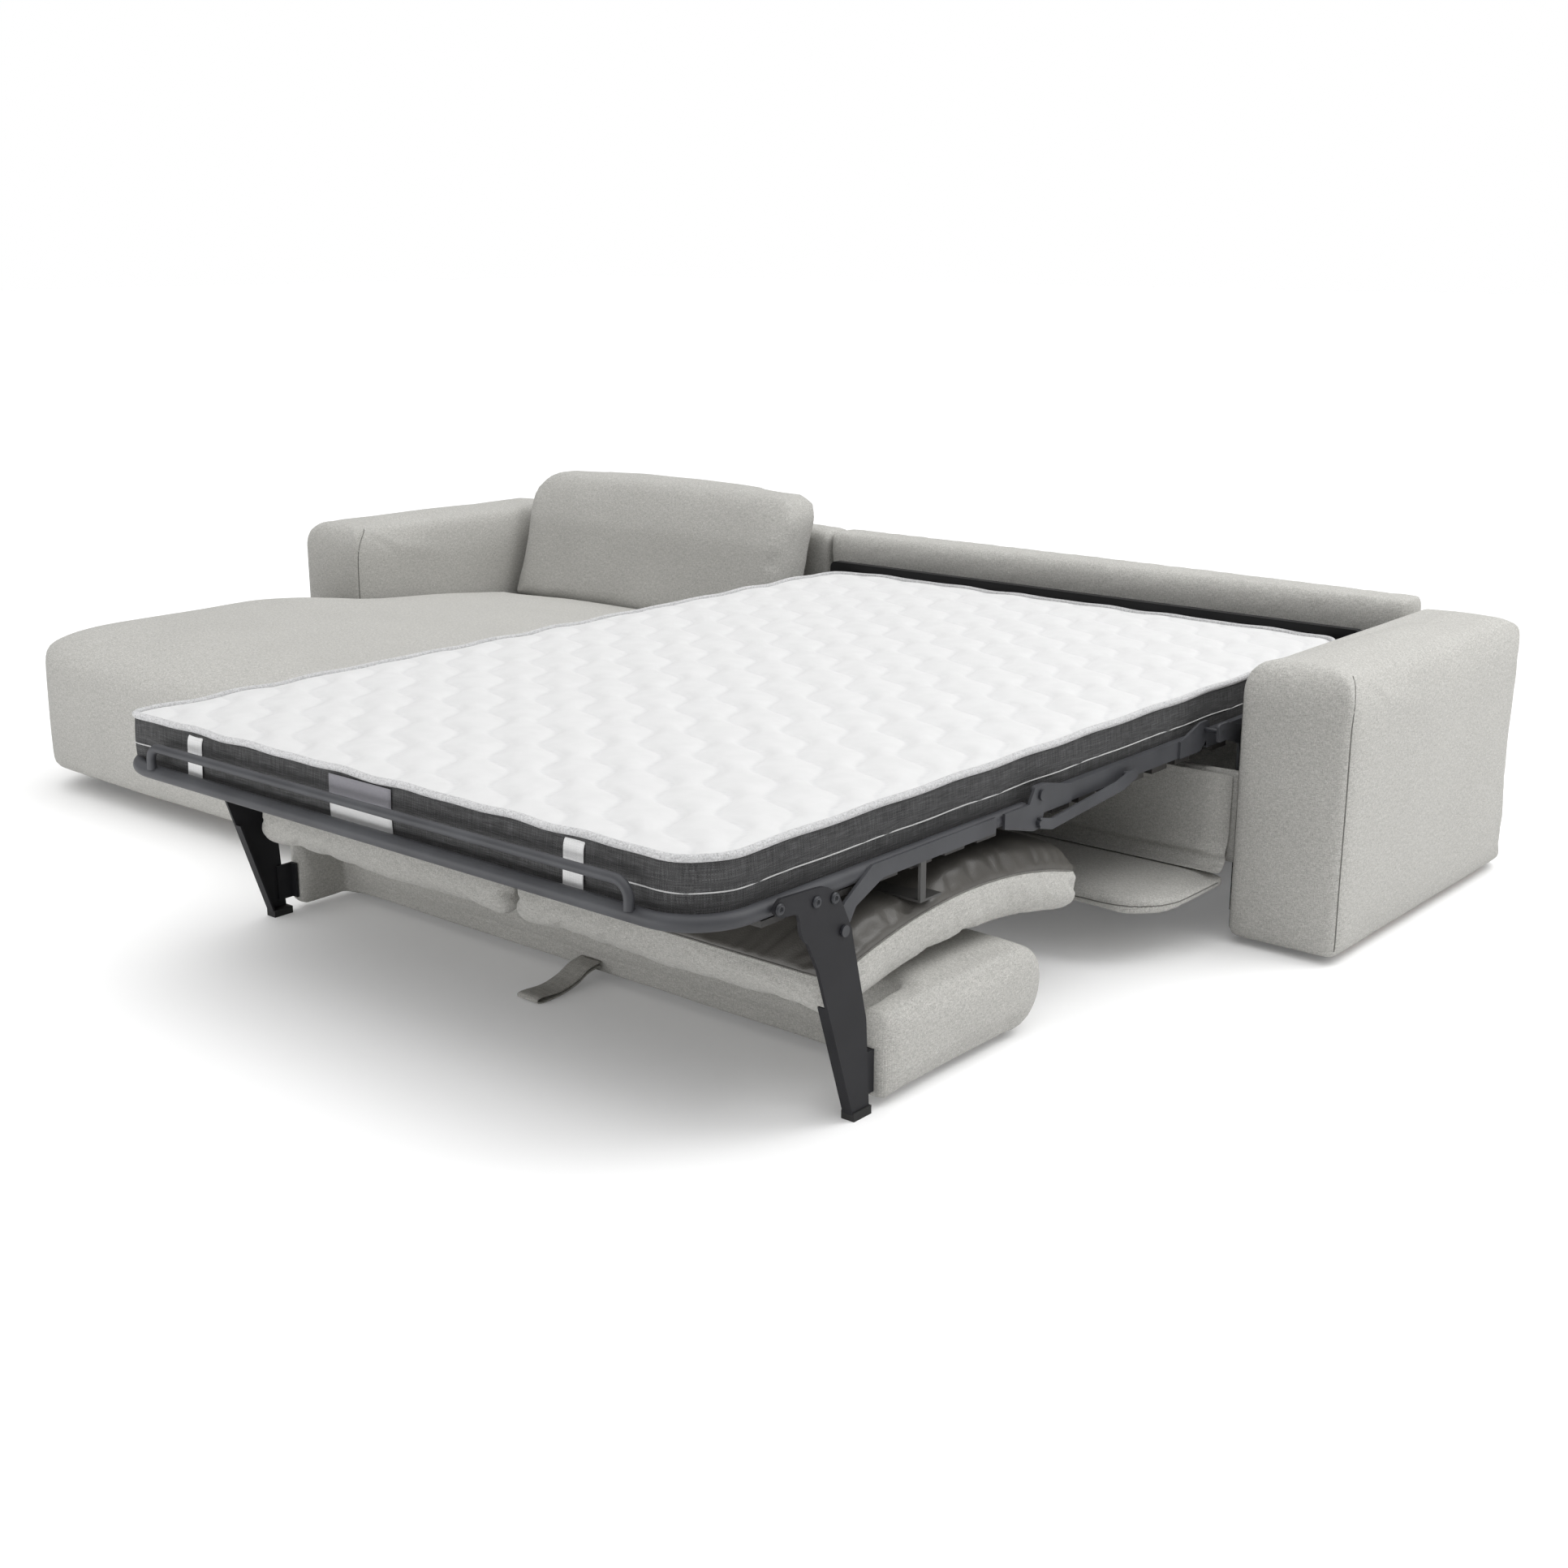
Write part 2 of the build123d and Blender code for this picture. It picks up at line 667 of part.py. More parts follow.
def pad_layer(start, end, top_drop, bottom_drop, end_swell, end_radius):
    """Return one arched layer of a seat pad, from x start to x end."""
    middle = (pad_front + pad_rear) / 2
    lean = 22

    def point(y, drop):
        """Return the point of the arch at y, drop below its top."""
        return Vector(y, pad_arc_z(y, drop))

    top = [point(y, top_drop) for y in (pad_front, middle, pad_rear)]
    low = [point(y, bottom_drop) for y in (pad_rear - 2 * lean, middle, pad_front + lean)]
    rear_middle = (top[2] + low[0]) / 2 + Vector(end_swell, 0)
    front_middle = (top[0] + low[2]) / 2 - Vector(end_swell, 0)
    edges = [
        ThreePointArc(*top), ThreePointArc(top[2], rear_middle, low[0]), ThreePointArc(*low),
        ThreePointArc(low[2], front_middle, top[0]),
    ]
    face = Face(Wire(edges))
    for corner in (low[0], low[2]):
        face = face.fillet_2d(end_radius, [face.vertices().sort_by_distance(corner)[0]])
    return extrude(Plane.YZ.offset(start) * face, end - start, dir=(1, 0, 0))


def seat_pad(start, end):
    """Return one seat cushion: arched, with soft ends and drawn-in sides."""
    edge, swell, end_swell, end_radius = 22, 4, 8, 16
    top_drop = pad_board_thickness
    pad = pad_layer(start, end, top_drop, top_drop + pad_thickness, end_swell, end_radius)
    plan = soft_outline(
        (start + swell, pad_front - edge), (end - swell, pad_rear + edge), (0, swell, 0, swell),
        (edge, edge, edge, edge),
    )
    return extrude(Plane.XY * plan, endless, both=True) & pad


def pad_board(start, end):
    """Return the arched board that carries one seat cushion."""
    end_swell = end_radius = 1
    return pad_layer(
        start + pad_board_inset, end - pad_board_inset, 0, pad_board_thickness, end_swell, end_radius
    )


def pad_bar():
    """Return the flat strip across the seat pads, a tongue at each end bent up to the flat bar there."""
    low_y, high_y = pad_bar_y - pad_bar_width / 2, pad_bar_y + pad_bar_width / 2
    seat = max(pad_arc_z(low_y, 0), pad_arc_z(high_y, 0)) + soft_gap
    bar = block((-carrier_outer, carrier_outer), (low_y, high_y), (seat, seat + pad_bar_height))
    for x in ((tube_outer, carrier_outer), (-carrier_outer, -tube_outer)):
        bar += block(x, (low_y, low_y + pad_bar_tongue), (seat, rail_bottom))
    return bar


def head_bar():
    """Return the dark bar that stands behind the mattress's head end."""
    corner = 16
    outline = soft_outline(
        (-rail_outer, rail_bottom), (rail_outer, head_bar_height), (0, 0, 0, 0), (0, 0, corner, corner)
    )
    start = mattress_length + soft_gap
    return extrude(Plane.XZ.offset(-start - head_bar_thickness) * outline, head_bar_thickness)


def head_brackets():
    """Return the four blocks that carry the head rails from the seat box's sides."""
    solids = []
    for start in (mid_hinge_y + 8 * box_board, mattress_length - 4 * box_board):
        z = (rail_bottom + rail_wall, rail_top - rail_wall)
        solids += both_sides(block((rail_outer, box_side_inner), (start, start + 2 * box_board), z))
    return solids


def box_side(side):
    """Return one side board of the seat box; side is -1 for left and 1 for right."""
    x = sorted((side * box_side_inner, side * box_side_outer))
    return block(x, (panel_rear, back_front - soft_gap), (box_bottom, rail_top))


def front_panel():
    """Return the upholstered front of the seat box."""
    edge = 10
    side = soft_outline(
        (panel_front, panel_bottom), (panel_rear, panel_top), (0, 0, 0, 0),
        (edge, edge, edge, edge),
    )
    return extrude(Plane.YZ.offset(-box_side_outer) * side, 2 * box_side_outer)


def flap_pad():
    """Return the padded flap in front of the seat box, with round front corners."""
    edge, corner, swell, spare = 14, 118, 4, 1
    edge_height = flap_bottom + flap_thickness - swell
    plan = soft_outline(
        (-flap_half_width, flap_front), (flap_half_width, flap_rear), (0, 0, 0, 0), (corner, corner, 0, 0)
    )
    front = soft_outline(
        (-flap_half_width - spare, flap_bottom), (flap_half_width + spare, edge_height), (0, 0, swell, 0),
        (edge, edge, edge, edge),
    )
    side = soft_outline(
        (flap_front, flap_bottom), (flap_rear, edge_height), (0, 0, swell, 0),
        (edge, edge, edge, edge),
    )
    return soft_solid(plan, front, side)


def knuckle_starts(shift):
    """Return where the flap's hinge knuckles start along X, moved by shift."""
    return [place * flap_knuckle_spacing + shift for place in (-1, 0, 1)]


def knuckle(start, bore, strip):
    """Return one hinge knuckle with the strip that fixes it, bored for the rod."""
    solid = rod(flap_hinge_y, flap_hinge_z, start, start + flap_knuckle_length, flap_knuckle_radius) + strip
    return (solid - rod(flap_hinge_y, flap_hinge_z, -endless, endless, bore)).solid()


def flap_leaves():
    """Return the hinge leaves on the flap's rear face, each round the rod at its upper end."""
    y = (flap_rear, flap_rear + flap_leaf_thickness)
    z = (flap_hinge_z - flap_leaf_height, flap_hinge_z)
    return [
        knuckle(start, flap_hinge_radius, block((start, start + flap_knuckle_length), y, z))
        for start in knuckle_starts(0)
    ]


def flap_hangers():
    """Return the hinge leaves on the front panel's face, each round the rod at its lower end."""
    y = (panel_front - flap_leaf_thickness, panel_front)
    z = (flap_hinge_z, flap_hinge_z + flap_leaf_height)
    bore = flap_hinge_radius + running_clearance
    return [
        knuckle(start, bore, block((start, start + flap_knuckle_length), y, z))
        for start in knuckle_starts(flap_knuckle_length + side_clearance)
    ]


def flap_rod():
    """Return the rod through the flap's hinge knuckles."""
    start = -flap_knuckle_spacing - flap_rod_overhang
    end = flap_knuckle_spacing + 2 * flap_knuckle_length + side_clearance + flap_rod_overhang
    return rod(flap_hinge_y, flap_hinge_z, start, end, flap_hinge_radius)


def glides():
    """Return the round feet under the arms, the chaise and the seat box."""
    places = []
    arm_middle = bay_right + arm_width / 2
    y0, y1 = arm_hollow()[1]
    for x in (-arm_middle, arm_middle):
        places += [(x, y, arm_clearance) for y in (y0 + 3 * glide_radius, y1 - 3 * glide_radius)]
    (x0, x1), (y0, y1), _ = chaise_hollow()
    for x in (x0 + board / 2, x1 - board / 2):
        places += [(x, y, chaise_bottom) for y in (y0 + 3 * glide_radius, y1 - 3 * glide_radius)]
    seat = (Align.CENTER, Align.CENTER, Align.MIN)
    return [Pos(x, y, 0) * Cylinder(glide_radius, top, align=seat) for x, y, top in places]


def box_feet():
    """Return the block feet under the seat box's sides."""
    feet = []
    for side in (-1, 1):
        x = sorted((side * box_side_inner, side * box_side_outer))
        for y in (box_front + 4 * box_board, back_front - 8 * box_board):
            feet.append(block(x, (y, y + 3 * box_board), (0, box_bottom)))
    return feet


def sofa_nodes():
    """Return the pieces drawn about the sofa's middle, by node name."""
    right_cover, right_frame = arm_cover(), arm_frame()
    return {
        "left_arm_cover": [mirror(right_cover, about=Plane.YZ)],
        "left_arm_frame": [mirror(piece, about=Plane.YZ) for piece in right_frame],
        "right_arm_cover": [right_cover],
        "right_arm_frame": right_frame,
        "chaise_seat": [chaise_seat()],
        "chaise_frame": chaise_frame(),
        "chaise_back_cushion": [chaise_cushion()],
        "chaise_back_panel": [back_panel(chaise_left + soft_gap, chaise_side - soft_gap)],
        "chaise_back_board": [back_board(chaise_left + soft_gap, chaise_side - soft_gap)],
        "bed_back_panel": [back_panel(chaise_side, bay_right - soft_gap)],
        "bed_back_board": [back_board(chaise_side, bay_right - soft_gap)],
        "glides": glides(),
    }


def box_nodes():
    """Return the seat box, the head section and the front flap, drawn about the bed's middle."""
    return {
        "box_side_left": [box_side(-1)],
        "box_side_right": [box_side(1)],
        "box_feet": box_feet(),
        "box_front_panel": [front_panel()],
        "pivot_plate_left": [mirror(side_plate(), about=Plane.YZ)],
        "pivot_plate_right": [side_plate()],
        "rear_pivot_pins": both_sides(base_pin()),
        "head_rails": both_sides(rail(mid_hinge_y + box_board, mattress_length + soft_gap)),
        "head_brackets": head_brackets(),
        "head_slats": slats(mid_hinge_y + 2 * box_board, mattress_length - box_board, 7),
        "head_bar": [head_bar()],
        "flap_hangers": flap_hangers(),
        "flap_rod": [flap_rod()],
        "flap_leaves": flap_leaves(),
        "flap_pad": [flap_pad()],
    }


def bed_nodes():
    """Return the folding bed's pieces, drawn about the bed's middle."""
    whole = mattress()
    gap = soft_gap / 2
    legs = both_sides(leg())
    half = pad_split / 2
    rail_start = foot_hinge_y + 2 * tube_radius
    turning_bore = pin_radius + running_clearance
    return {
        "mattress_head": [mattress_section(whole, mid_hinge_y + gap, mattress_length)],
        "mattress_mid": [mattress_section(whole, foot_hinge_y + gap, mid_hinge_y - gap)],
        "mattress_foot": [mattress_section(whole, 0, foot_hinge_y - gap)],
        "mid_rails": both_sides(rail(rail_start, mid_hinge_y - box_board)),
        "mid_slats": slats(rail_start + slat_width / 2, mid_hinge_y - box_board - slat_width / 2, 6),
        "fold_lugs": both_sides(rail_lug(foot_hinge_y, foot_hinge_z, fold_lug_reach, pin_radius)),
        "rear_lugs": both_sides(rail_lug(mid_hinge_y, mid_hinge_z, -rear_lug_reach, turning_bore)),
        "fold_pins": both_sides(fold_pin()),
        "stop_arm_left": [mirror(stop_arm(), about=Plane.YZ)],
        "stop_arm_right": [stop_arm()],
        "foot_frame": [foot_frame()],
        "foot_slats": slats(foot_bend_radius, foot_hinge_y - 2 * tube_radius, 8),
        "stop_bar": [stop_bar()],
        "elastic_straps": [elastic_strap(elastic_shift + side * elastic_offset) for side in (-1, 1)],
        "hinge_plates": both_sides(hinge_plate()),
        "stop_studs": both_sides(stop_stud()),
        "leg_carrier_left": [mirror(leg_carrier(), about=Plane.YZ)],
        "leg_carrier_right": [leg_carrier()],
        "leg_pins": both_sides(leg_pin()),
        "pad_bar": [pad_bar()],
        "seat_pad_left": [seat_pad(-pad_half_width, -half)],
        "seat_pad_right": [seat_pad(half, pad_half_width)],
        "pad_board_left": [pad_board(-pad_half_width, -half)],
        "pad_board_right": [pad_board(half, pad_half_width)],
        "leg_left": [legs[1]],
        "leg_right": [legs[0]],
        "leg_caps": both_sides(leg_cap(legs[0])),
        "leg_rivets": [head for rivet in leg_rivets() for head in both_sides(rivet)],
        "backrest": [backrest()],
        "backrest_board": [backrest_board()],
        "backrest_brackets": both_sides(backrest_bracket()),
        "pull_strap": [pull_strap()],
    }


def write_nodes(nodes, shift_x):
    """Write each node's solids, moved to the sofa's frame, as one STEP file."""
    place = Location((shift_x, -depth_middle, 0))
    for name, shapes in nodes.items():
        solids = [solid.moved(place) for shape in shapes for solid in shape.solids()]
        export_step(Compound(children=solids), f"parts/{name}.step")


os.makedirs("parts", exist_ok=True)
write_nodes(sofa_nodes(), 0)
write_nodes(box_nodes(), bed_middle)
write_nodes(bed_nodes(), bed_middle)
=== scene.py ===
"""Looks of a corner sofa bed with its bed folded out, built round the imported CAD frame.

The chaise stands on the left and the bed on the right. Every length is in metres, in the frame's own
axes: +X along the back towards the bed, +Y to the rear and +Z up.
"""

import json
import logging
import math
from dataclasses import dataclass, field
from enum import Enum
from typing import Callable, Optional, Sequence, Union

import bmesh
import bpy
import numpy as np
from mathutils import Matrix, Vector
from mathutils.bvhtree import BVHTree


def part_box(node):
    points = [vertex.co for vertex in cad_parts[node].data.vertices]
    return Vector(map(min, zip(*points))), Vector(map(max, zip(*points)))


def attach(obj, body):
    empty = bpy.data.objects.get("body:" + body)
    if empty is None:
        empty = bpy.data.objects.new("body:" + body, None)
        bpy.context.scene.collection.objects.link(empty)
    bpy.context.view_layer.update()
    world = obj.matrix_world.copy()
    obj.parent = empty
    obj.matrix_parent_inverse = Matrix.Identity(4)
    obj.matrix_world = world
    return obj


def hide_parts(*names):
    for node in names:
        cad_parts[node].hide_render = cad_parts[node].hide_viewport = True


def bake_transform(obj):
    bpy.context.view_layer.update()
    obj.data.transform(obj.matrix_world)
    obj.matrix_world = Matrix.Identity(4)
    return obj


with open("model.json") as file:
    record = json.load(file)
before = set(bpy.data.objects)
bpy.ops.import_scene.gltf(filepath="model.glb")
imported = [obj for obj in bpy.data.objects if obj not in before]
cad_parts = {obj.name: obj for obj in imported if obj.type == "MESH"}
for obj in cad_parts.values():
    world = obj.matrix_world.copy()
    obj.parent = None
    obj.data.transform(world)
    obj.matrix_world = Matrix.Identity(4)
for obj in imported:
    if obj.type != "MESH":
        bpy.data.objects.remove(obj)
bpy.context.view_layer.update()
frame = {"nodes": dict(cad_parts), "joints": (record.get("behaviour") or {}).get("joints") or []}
LOG = logging.getLogger("sofa_bed")

Colour = tuple[float, float, float]
Socket = bpy.types.NodeSocket
Feed = Union[Socket, float]
Box = tuple[Vector, Vector]
Sides = tuple[float, float, float]


class Body(Enum):
    """The CAD bodies that pieces ride on."""

    SOFA = "sofa_base"
    MIDDLE = "mid_section"
    FOOT = "foot_section"
    LEGS = "legs_and_backrest"
    FLAP = "front_flap"


class Slot(Enum):
    """Names of the record's material slots."""

    FABRIC = "sofa_fabric"
    PINS = "pin_steel"
    MATTRESS = "mattress_ticking"
    ELASTIC = "white_elastic"
    WEBBING = "webbing"


class Edge(Enum):
    """How far the edges of a rigid piece are eased."""

    BENT = 0.0009
    SAWN = 0.001
    MOULDED = 0.0015
    ROUNDED = 0.002
    WRAPPED = 0.003


@dataclass(frozen=True)
class BedPlace:
    """Where the bed lies in the frame, and the sizes that its soft pieces share."""

    middle_x: float
    foot_y: float
    half_width: float
    length: float
    bottom_z: float
    foot_fold_y: float
    mid_fold_y: float
    fold_z: float

    @classmethod
    def from_frame(cls) -> "BedPlace":
        """Read the bed's place from the mattress's nodes and the two folds.

        Returns:
            The place.
        """
        low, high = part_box("mattress_foot")[0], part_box("mattress_head")[1]
        folds = {joint["name"]: joint["pos_m"] for joint in frame["joints"]}
        return cls(
            middle_x=(low.x + high.x) / 2, foot_y=low.y, half_width=(high.x - low.x) / 2,
            length=high.y - low.y, bottom_z=low.z, foot_fold_y=folds["foot_fold"][1],
            mid_fold_y=folds["mid_fold"][1], fold_z=folds["foot_fold"][2],
        )


BED = BedPlace.from_frame()


class ShaderTree:
    """Adds nodes to one shader tree and links them."""

    def __init__(self, tree: bpy.types.NodeTree) -> None:
        """Keep the tree.

        Args:
            tree: the material's or group's node tree.
        """
        self.tree = tree

    def add(self, kind: str, **settings: object) -> bpy.types.Node:
        """Add one node.

        Args:
            kind: the node's type name.
            settings: attributes to set on it.

        Returns:
            The new node.
        """
        node = self.tree.nodes.new(kind)
        for name, value in settings.items():
            setattr(node, name, value)
        return node

    def feed(self, socket: Socket, value: object) -> None:
        """Link a socket to another, or set its value.

        Args:
            socket: the input socket.
            value: a socket to link, a value to set, or None to leave it as it is.
        """
        if isinstance(value, bpy.types.NodeSocket):
            self.tree.links.new(value, socket)
        elif value is not None:
            socket.default_value = value

    def math(self, operation: str, first: Feed, second: Optional[Feed] = None, clamp: bool = False) -> Socket:
        """Add a Math node.

        Args:
            operation: its operation.
            first: first value or socket.
            second: second value or socket.
            clamp: whether the result stays between 0 and 1.

        Returns:
            The result's socket.
        """
        node = self.add("ShaderNodeMath", operation=operation, use_clamp=clamp)
        self.feed(node.inputs[0], first)
        self.feed(node.inputs[1], second)
        return node.outputs[0]

    def split(self, vector: Socket) -> tuple[Socket, Socket, Socket]:
        """Split a vector.

        Args:
            vector: the vector's socket.

        Returns:
            The sockets of its three parts.
        """
        node = self.add("ShaderNodeSeparateXYZ")
        self.feed(node.inputs[0], vector)
        return node.outputs[0], node.outputs[1], node.outputs[2]

    def combine(self, x: Feed, y: Feed, z: Feed = 0.0) -> Socket:
        """Join three parts into a vector.

        Args:
            x: first value or socket.
            y: second value or socket.
            z: third value or socket.

        Returns:
            The vector's socket.
        """
        node = self.add("ShaderNodeCombineXYZ")
        for socket, value in zip(node.inputs, (x, y, z)):
            self.feed(socket, value)
        return node.outputs[0]

    def noise(self, vector: Socket, scale: Feed, detail: float = 2.0, roughness: float = 0.5) -> Socket:
        """Add a Noise texture.

        Args:
            vector: the place that it is read at.
            scale: how fine it is.
            detail: how many finer layers it has.
            roughness: how strong those layers are.

        Returns:
            The noise value's socket.
        """
        node = self.add("ShaderNodeTexNoise")
        self.feed(node.inputs["Vector"], vector)
        self.feed(node.inputs["Scale"], scale)
        node.inputs["Detail"].default_value = detail
        node.inputs["Roughness"].default_value = roughness
        return node.outputs[0]

    def cells(self, vector: Socket, scale: Feed) -> Socket:
        """Add a Voronoi texture.

        Args:
            vector: the place that it is read at.
            scale: how fine its cells are.

        Returns:
            The socket of the distance from the nearest cell's middle.
        """
        node = self.add("ShaderNodeTexVoronoi")
        self.feed(node.inputs["Vector"], vector)
        self.feed(node.inputs["Scale"], scale)
        return node.outputs["Distance"]

    def mix(self, share: Feed, first: Feed, second: Feed) -> Socket:
        """Mix two values.

        Args:
            share: how much of the second there is.
            first: first value or socket.
            second: second value or socket.

        Returns:
            The result's socket.
        """
        node = self.add("ShaderNodeMix", data_type="FLOAT")
        self.feed(node.inputs[0], share)
        self.feed(node.inputs[2], first)
        self.feed(node.inputs[3], second)
        return node.outputs[0]

    def mix_colour(self, share: Feed, first: object, second: object, blend: str = "MIX") -> Socket:
        """Mix two colours.

        Args:
            share: how much of the second there is.
            first: first colour or socket.
            second: second colour or socket.
            blend: the way they mix.

        Returns:
            The colour's socket.
        """
        node = self.add("ShaderNodeMix", data_type="RGBA", blend_type=blend)
        self.feed(node.inputs[0], share)
        self.feed(node.inputs[6], first)
        self.feed(node.inputs[7], second)
        return node.outputs[2]

    def ramp(self, share: Socket, stops: Sequence[tuple[float, Colour]]) -> Socket:
        """Return a colour from a ramp.

        Args:
            share: what runs along the ramp.
            stops: its places and colours.

        Returns:
            The colour's socket.
        """
        node = self.add("ShaderNodeValToRGB")
        elements = node.color_ramp.elements
        while len(elements) < len(stops):
            elements.new(0.5)
        for element, (place, colour) in zip(elements, stops):
            element.position = place
            element.color = (*colour, 1.0)
        self.feed(node.inputs[0], share)
        return node.outputs[0]

    def bump(self, height: Socket, strength: float, distance: float) -> Socket:
        """Add a Bump node.

        Args:
            height: the relief's socket.
            strength: how much of it shows.
            distance: how high it is.

        Returns:
            The normal's socket.
        """
        node = self.add("ShaderNodeBump")
        node.inputs["Strength"].default_value = strength
        node.inputs["Distance"].default_value = distance
        self.feed(node.inputs["Height"], height)
        return node.outputs[0]

    def place_group(self, group: bpy.types.NodeTree, **values: object) -> bpy.types.Node:
        """Add a node group with its own values.

        Args:
            group: the node group.
            values: a value or socket for each input, with underscores for the spaces in its name.

        Returns:
            The group's node.
        """
        node = self.add("ShaderNodeGroup", node_tree=group)
        for name, value in values.items():
            self.feed(node.inputs[name.replace("_", " ")], value)
        return node


class Effects:
    """Shader node groups that several finishes share, each built once."""

    built: dict[str, bpy.types.NodeTree] = {}

    @classmethod
    def make(
        cls, name: str, inputs: dict[str, float], outputs: Sequence[str],
        fill: Callable[[ShaderTree, dict[str, Socket]], Sequence[Socket]],
    ) -> bpy.types.NodeTree:
        """Build a group once.

        Args:
            name: the group's name.
            inputs: its value inputs and their usual values.
            outputs: the names of its value outputs.
            fill: adds the nodes and returns one socket per output.

        Returns:
            The node group.
        """
        if name not in cls.built:
            tree = bpy.data.node_groups.new(name, "ShaderNodeTree")
            for label, value in inputs.items():
                socket = tree.interface.new_socket(label, in_out="INPUT", socket_type="NodeSocketFloat")
                socket.default_value = value
            for label in outputs:
                tree.interface.new_socket(label, in_out="OUTPUT", socket_type="NodeSocketFloat")
            shader = ShaderTree(tree)
            entry, leave = shader.add("NodeGroupInput"), shader.add("NodeGroupOutput")
            results = fill(shader, {label: entry.outputs[label] for label in inputs})
            for label, socket in zip(outputs, results):
                shader.feed(leave.inputs[label], socket)
            cls.built[name] = tree
        return cls.built[name]

    @staticmethod
    def surface_axes(shader: ShaderTree) -> tuple[Socket, Socket, Socket]:
        """Add coordinates that lie along the surface.

        Args:
            shader: the group's tree.

        Returns:
            Two coordinates along the surface, and the object's own coordinates.
        """
        source = shader.add("ShaderNodeTexCoord")
        x, y, z = shader.split(source.outputs["Object"])
        facing = [shader.math("ABSOLUTE", part) for part in shader.split(source.outputs["Normal"])]
        upward = shader.math("GREATER_THAN", facing[2], shader.math("MAXIMUM", facing[0], facing[1]))
        sideways = shader.math("GREATER_THAN", facing[0], facing[1])
        sideways = shader.math("MULTIPLY", sideways, shader.math("SUBTRACT", 1.0, upward))
        return shader.mix(sideways, x, y), shader.mix(upward, z, y), source.outputs["Object"]

    @classmethod
    def weave(cls) -> bpy.types.NodeTree:
        """Build the plain weave of uneven threads.

        Returns:
            The group, which puts out the tone and the height of the thread on top.
        """

        def fill(shader: ShaderTree, given: dict[str, Socket]) -> Sequence[Socket]:
            """Add the weave's nodes.

            Args:
                shader: the group's tree.
                given: the group's inputs.

            Returns:
                The tone and the height.
            """
            across, along, place = cls.surface_axes(shader)
            wander = shader.math("MULTIPLY", shader.noise(place, 22.0), given["Pitch"])
            warp = shader.math("DIVIDE", shader.math("ADD", across, wander), given["Pitch"])
            weft = shader.math("DIVIDE", shader.math("ADD", along, wander), given["Pitch"])
            warp_place = shader.combine(warp, shader.math("MULTIPLY", weft, given["Streak"]))
            warp_tone = shader.noise(warp_place, 1.0, 3.0, 0.7)
            weft_place = shader.combine(shader.math("MULTIPLY", warp, given["Streak"]), weft, 7.3)
            weft_tone = shader.noise(weft_place, 1.0, 3.0, 0.7)
            warp_wave = shader.math("SINE", shader.math("MULTIPLY", warp, math.pi))
            weft_wave = shader.math("SINE", shader.math("MULTIPLY", weft, math.pi))
            over = shader.math("MULTIPLY", warp_wave, weft_wave)
            over = shader.math("ADD", shader.math("MULTIPLY", over, 2.0), 0.5, clamp=True)
            tone = shader.mix(over, warp_tone, weft_tone)
            height = shader.mix(over, shader.math("ABSOLUTE", warp_wave), shader.math("ABSOLUTE", weft_wave))
            height = shader.math("ADD", height, tone)
            return tone, height

        return cls.make("uneven_weave", {"Pitch": 0.0024, "Streak": 0.08}, ("Tone", "Height"), fill)

    @classmethod
    def mottle(cls) -> bpy.types.NodeTree:
        """Build slow tone changes over a surface, with a fine grain.

        Returns:
            The group, which puts out the slow tone and the fine grain.
        """

        def fill(shader: ShaderTree, given: dict[str, Socket]) -> Sequence[Socket]:
            """Add the mottle's nodes.

            Args:
                shader: the group's tree.
                given: the group's inputs.

            Returns:
                The slow tone and the fine grain.
            """
            place = shader.add("ShaderNodeTexCoord").outputs["Object"]
            slow = shader.noise(place, given["Slow"], 3.0)
            fine = shader.noise(place, given["Fine"], 2.0, 0.6)
            return slow, fine

        return cls.make("mottle", {"Slow": 4.0, "Fine": 900.0}, ("Slow Tone", "Fine Grain"), fill)

    @classmethod
    def grain(cls) -> bpy.types.NodeTree:
        """Build timber grain that runs along X.

        Returns:
            The group, which puts out the rings and the fibre.
        """

        def fill(shader: ShaderTree, given: dict[str, Socket]) -> Sequence[Socket]:
            """Add the grain's nodes.

            Args:
                shader: the group's tree.
                given: the group's inputs.

            Returns:
                The rings and the fibre.
            """
            place = shader.add("ShaderNodeTexCoord").outputs["Object"]
            x, y, z = shader.split(place)
            drawn = shader.combine(shader.math("MULTIPLY", x, given["Draw"]), y, z)
            rings = shader.noise(drawn, given["Rings"], 4.0, 0.6)
            fibre = shader.noise(drawn, shader.math("MULTIPLY", given["Rings"], 9.0), 2.0)
            return rings, fibre

        return cls.make("timber_grain", {"Draw": 0.05, "Rings": 45.0}, ("Rings", "Fibre"), fill)


class Finish:
    """A material that is built once and shared by its pieces."""

    made: dict[str, bpy.types.Material] = {}
    name: str

    def material(self) -> bpy.types.Material:
        """Build the finish's material once.

        Returns:
            The material.
        """
        if self.name not in Finish.made:
            material = bpy.data.materials.new(self.name)
            material.use_nodes = True
            material.node_tree.nodes.clear()
            shader = ShaderTree(material.node_tree)
            surface = shader.add("ShaderNodeBsdfPrincipled")
            shader.feed(shader.add("ShaderNodeOutputMaterial").inputs[0], surface.outputs[0])
            self.dress(shader, surface)
            Finish.made[self.name] = material
        return Finish.made[self.name]

    def dress(self, shader: ShaderTree, surface: bpy.types.Node) -> None:
        """Add the finish's nodes to a fresh material."""
        raise NotImplementedError


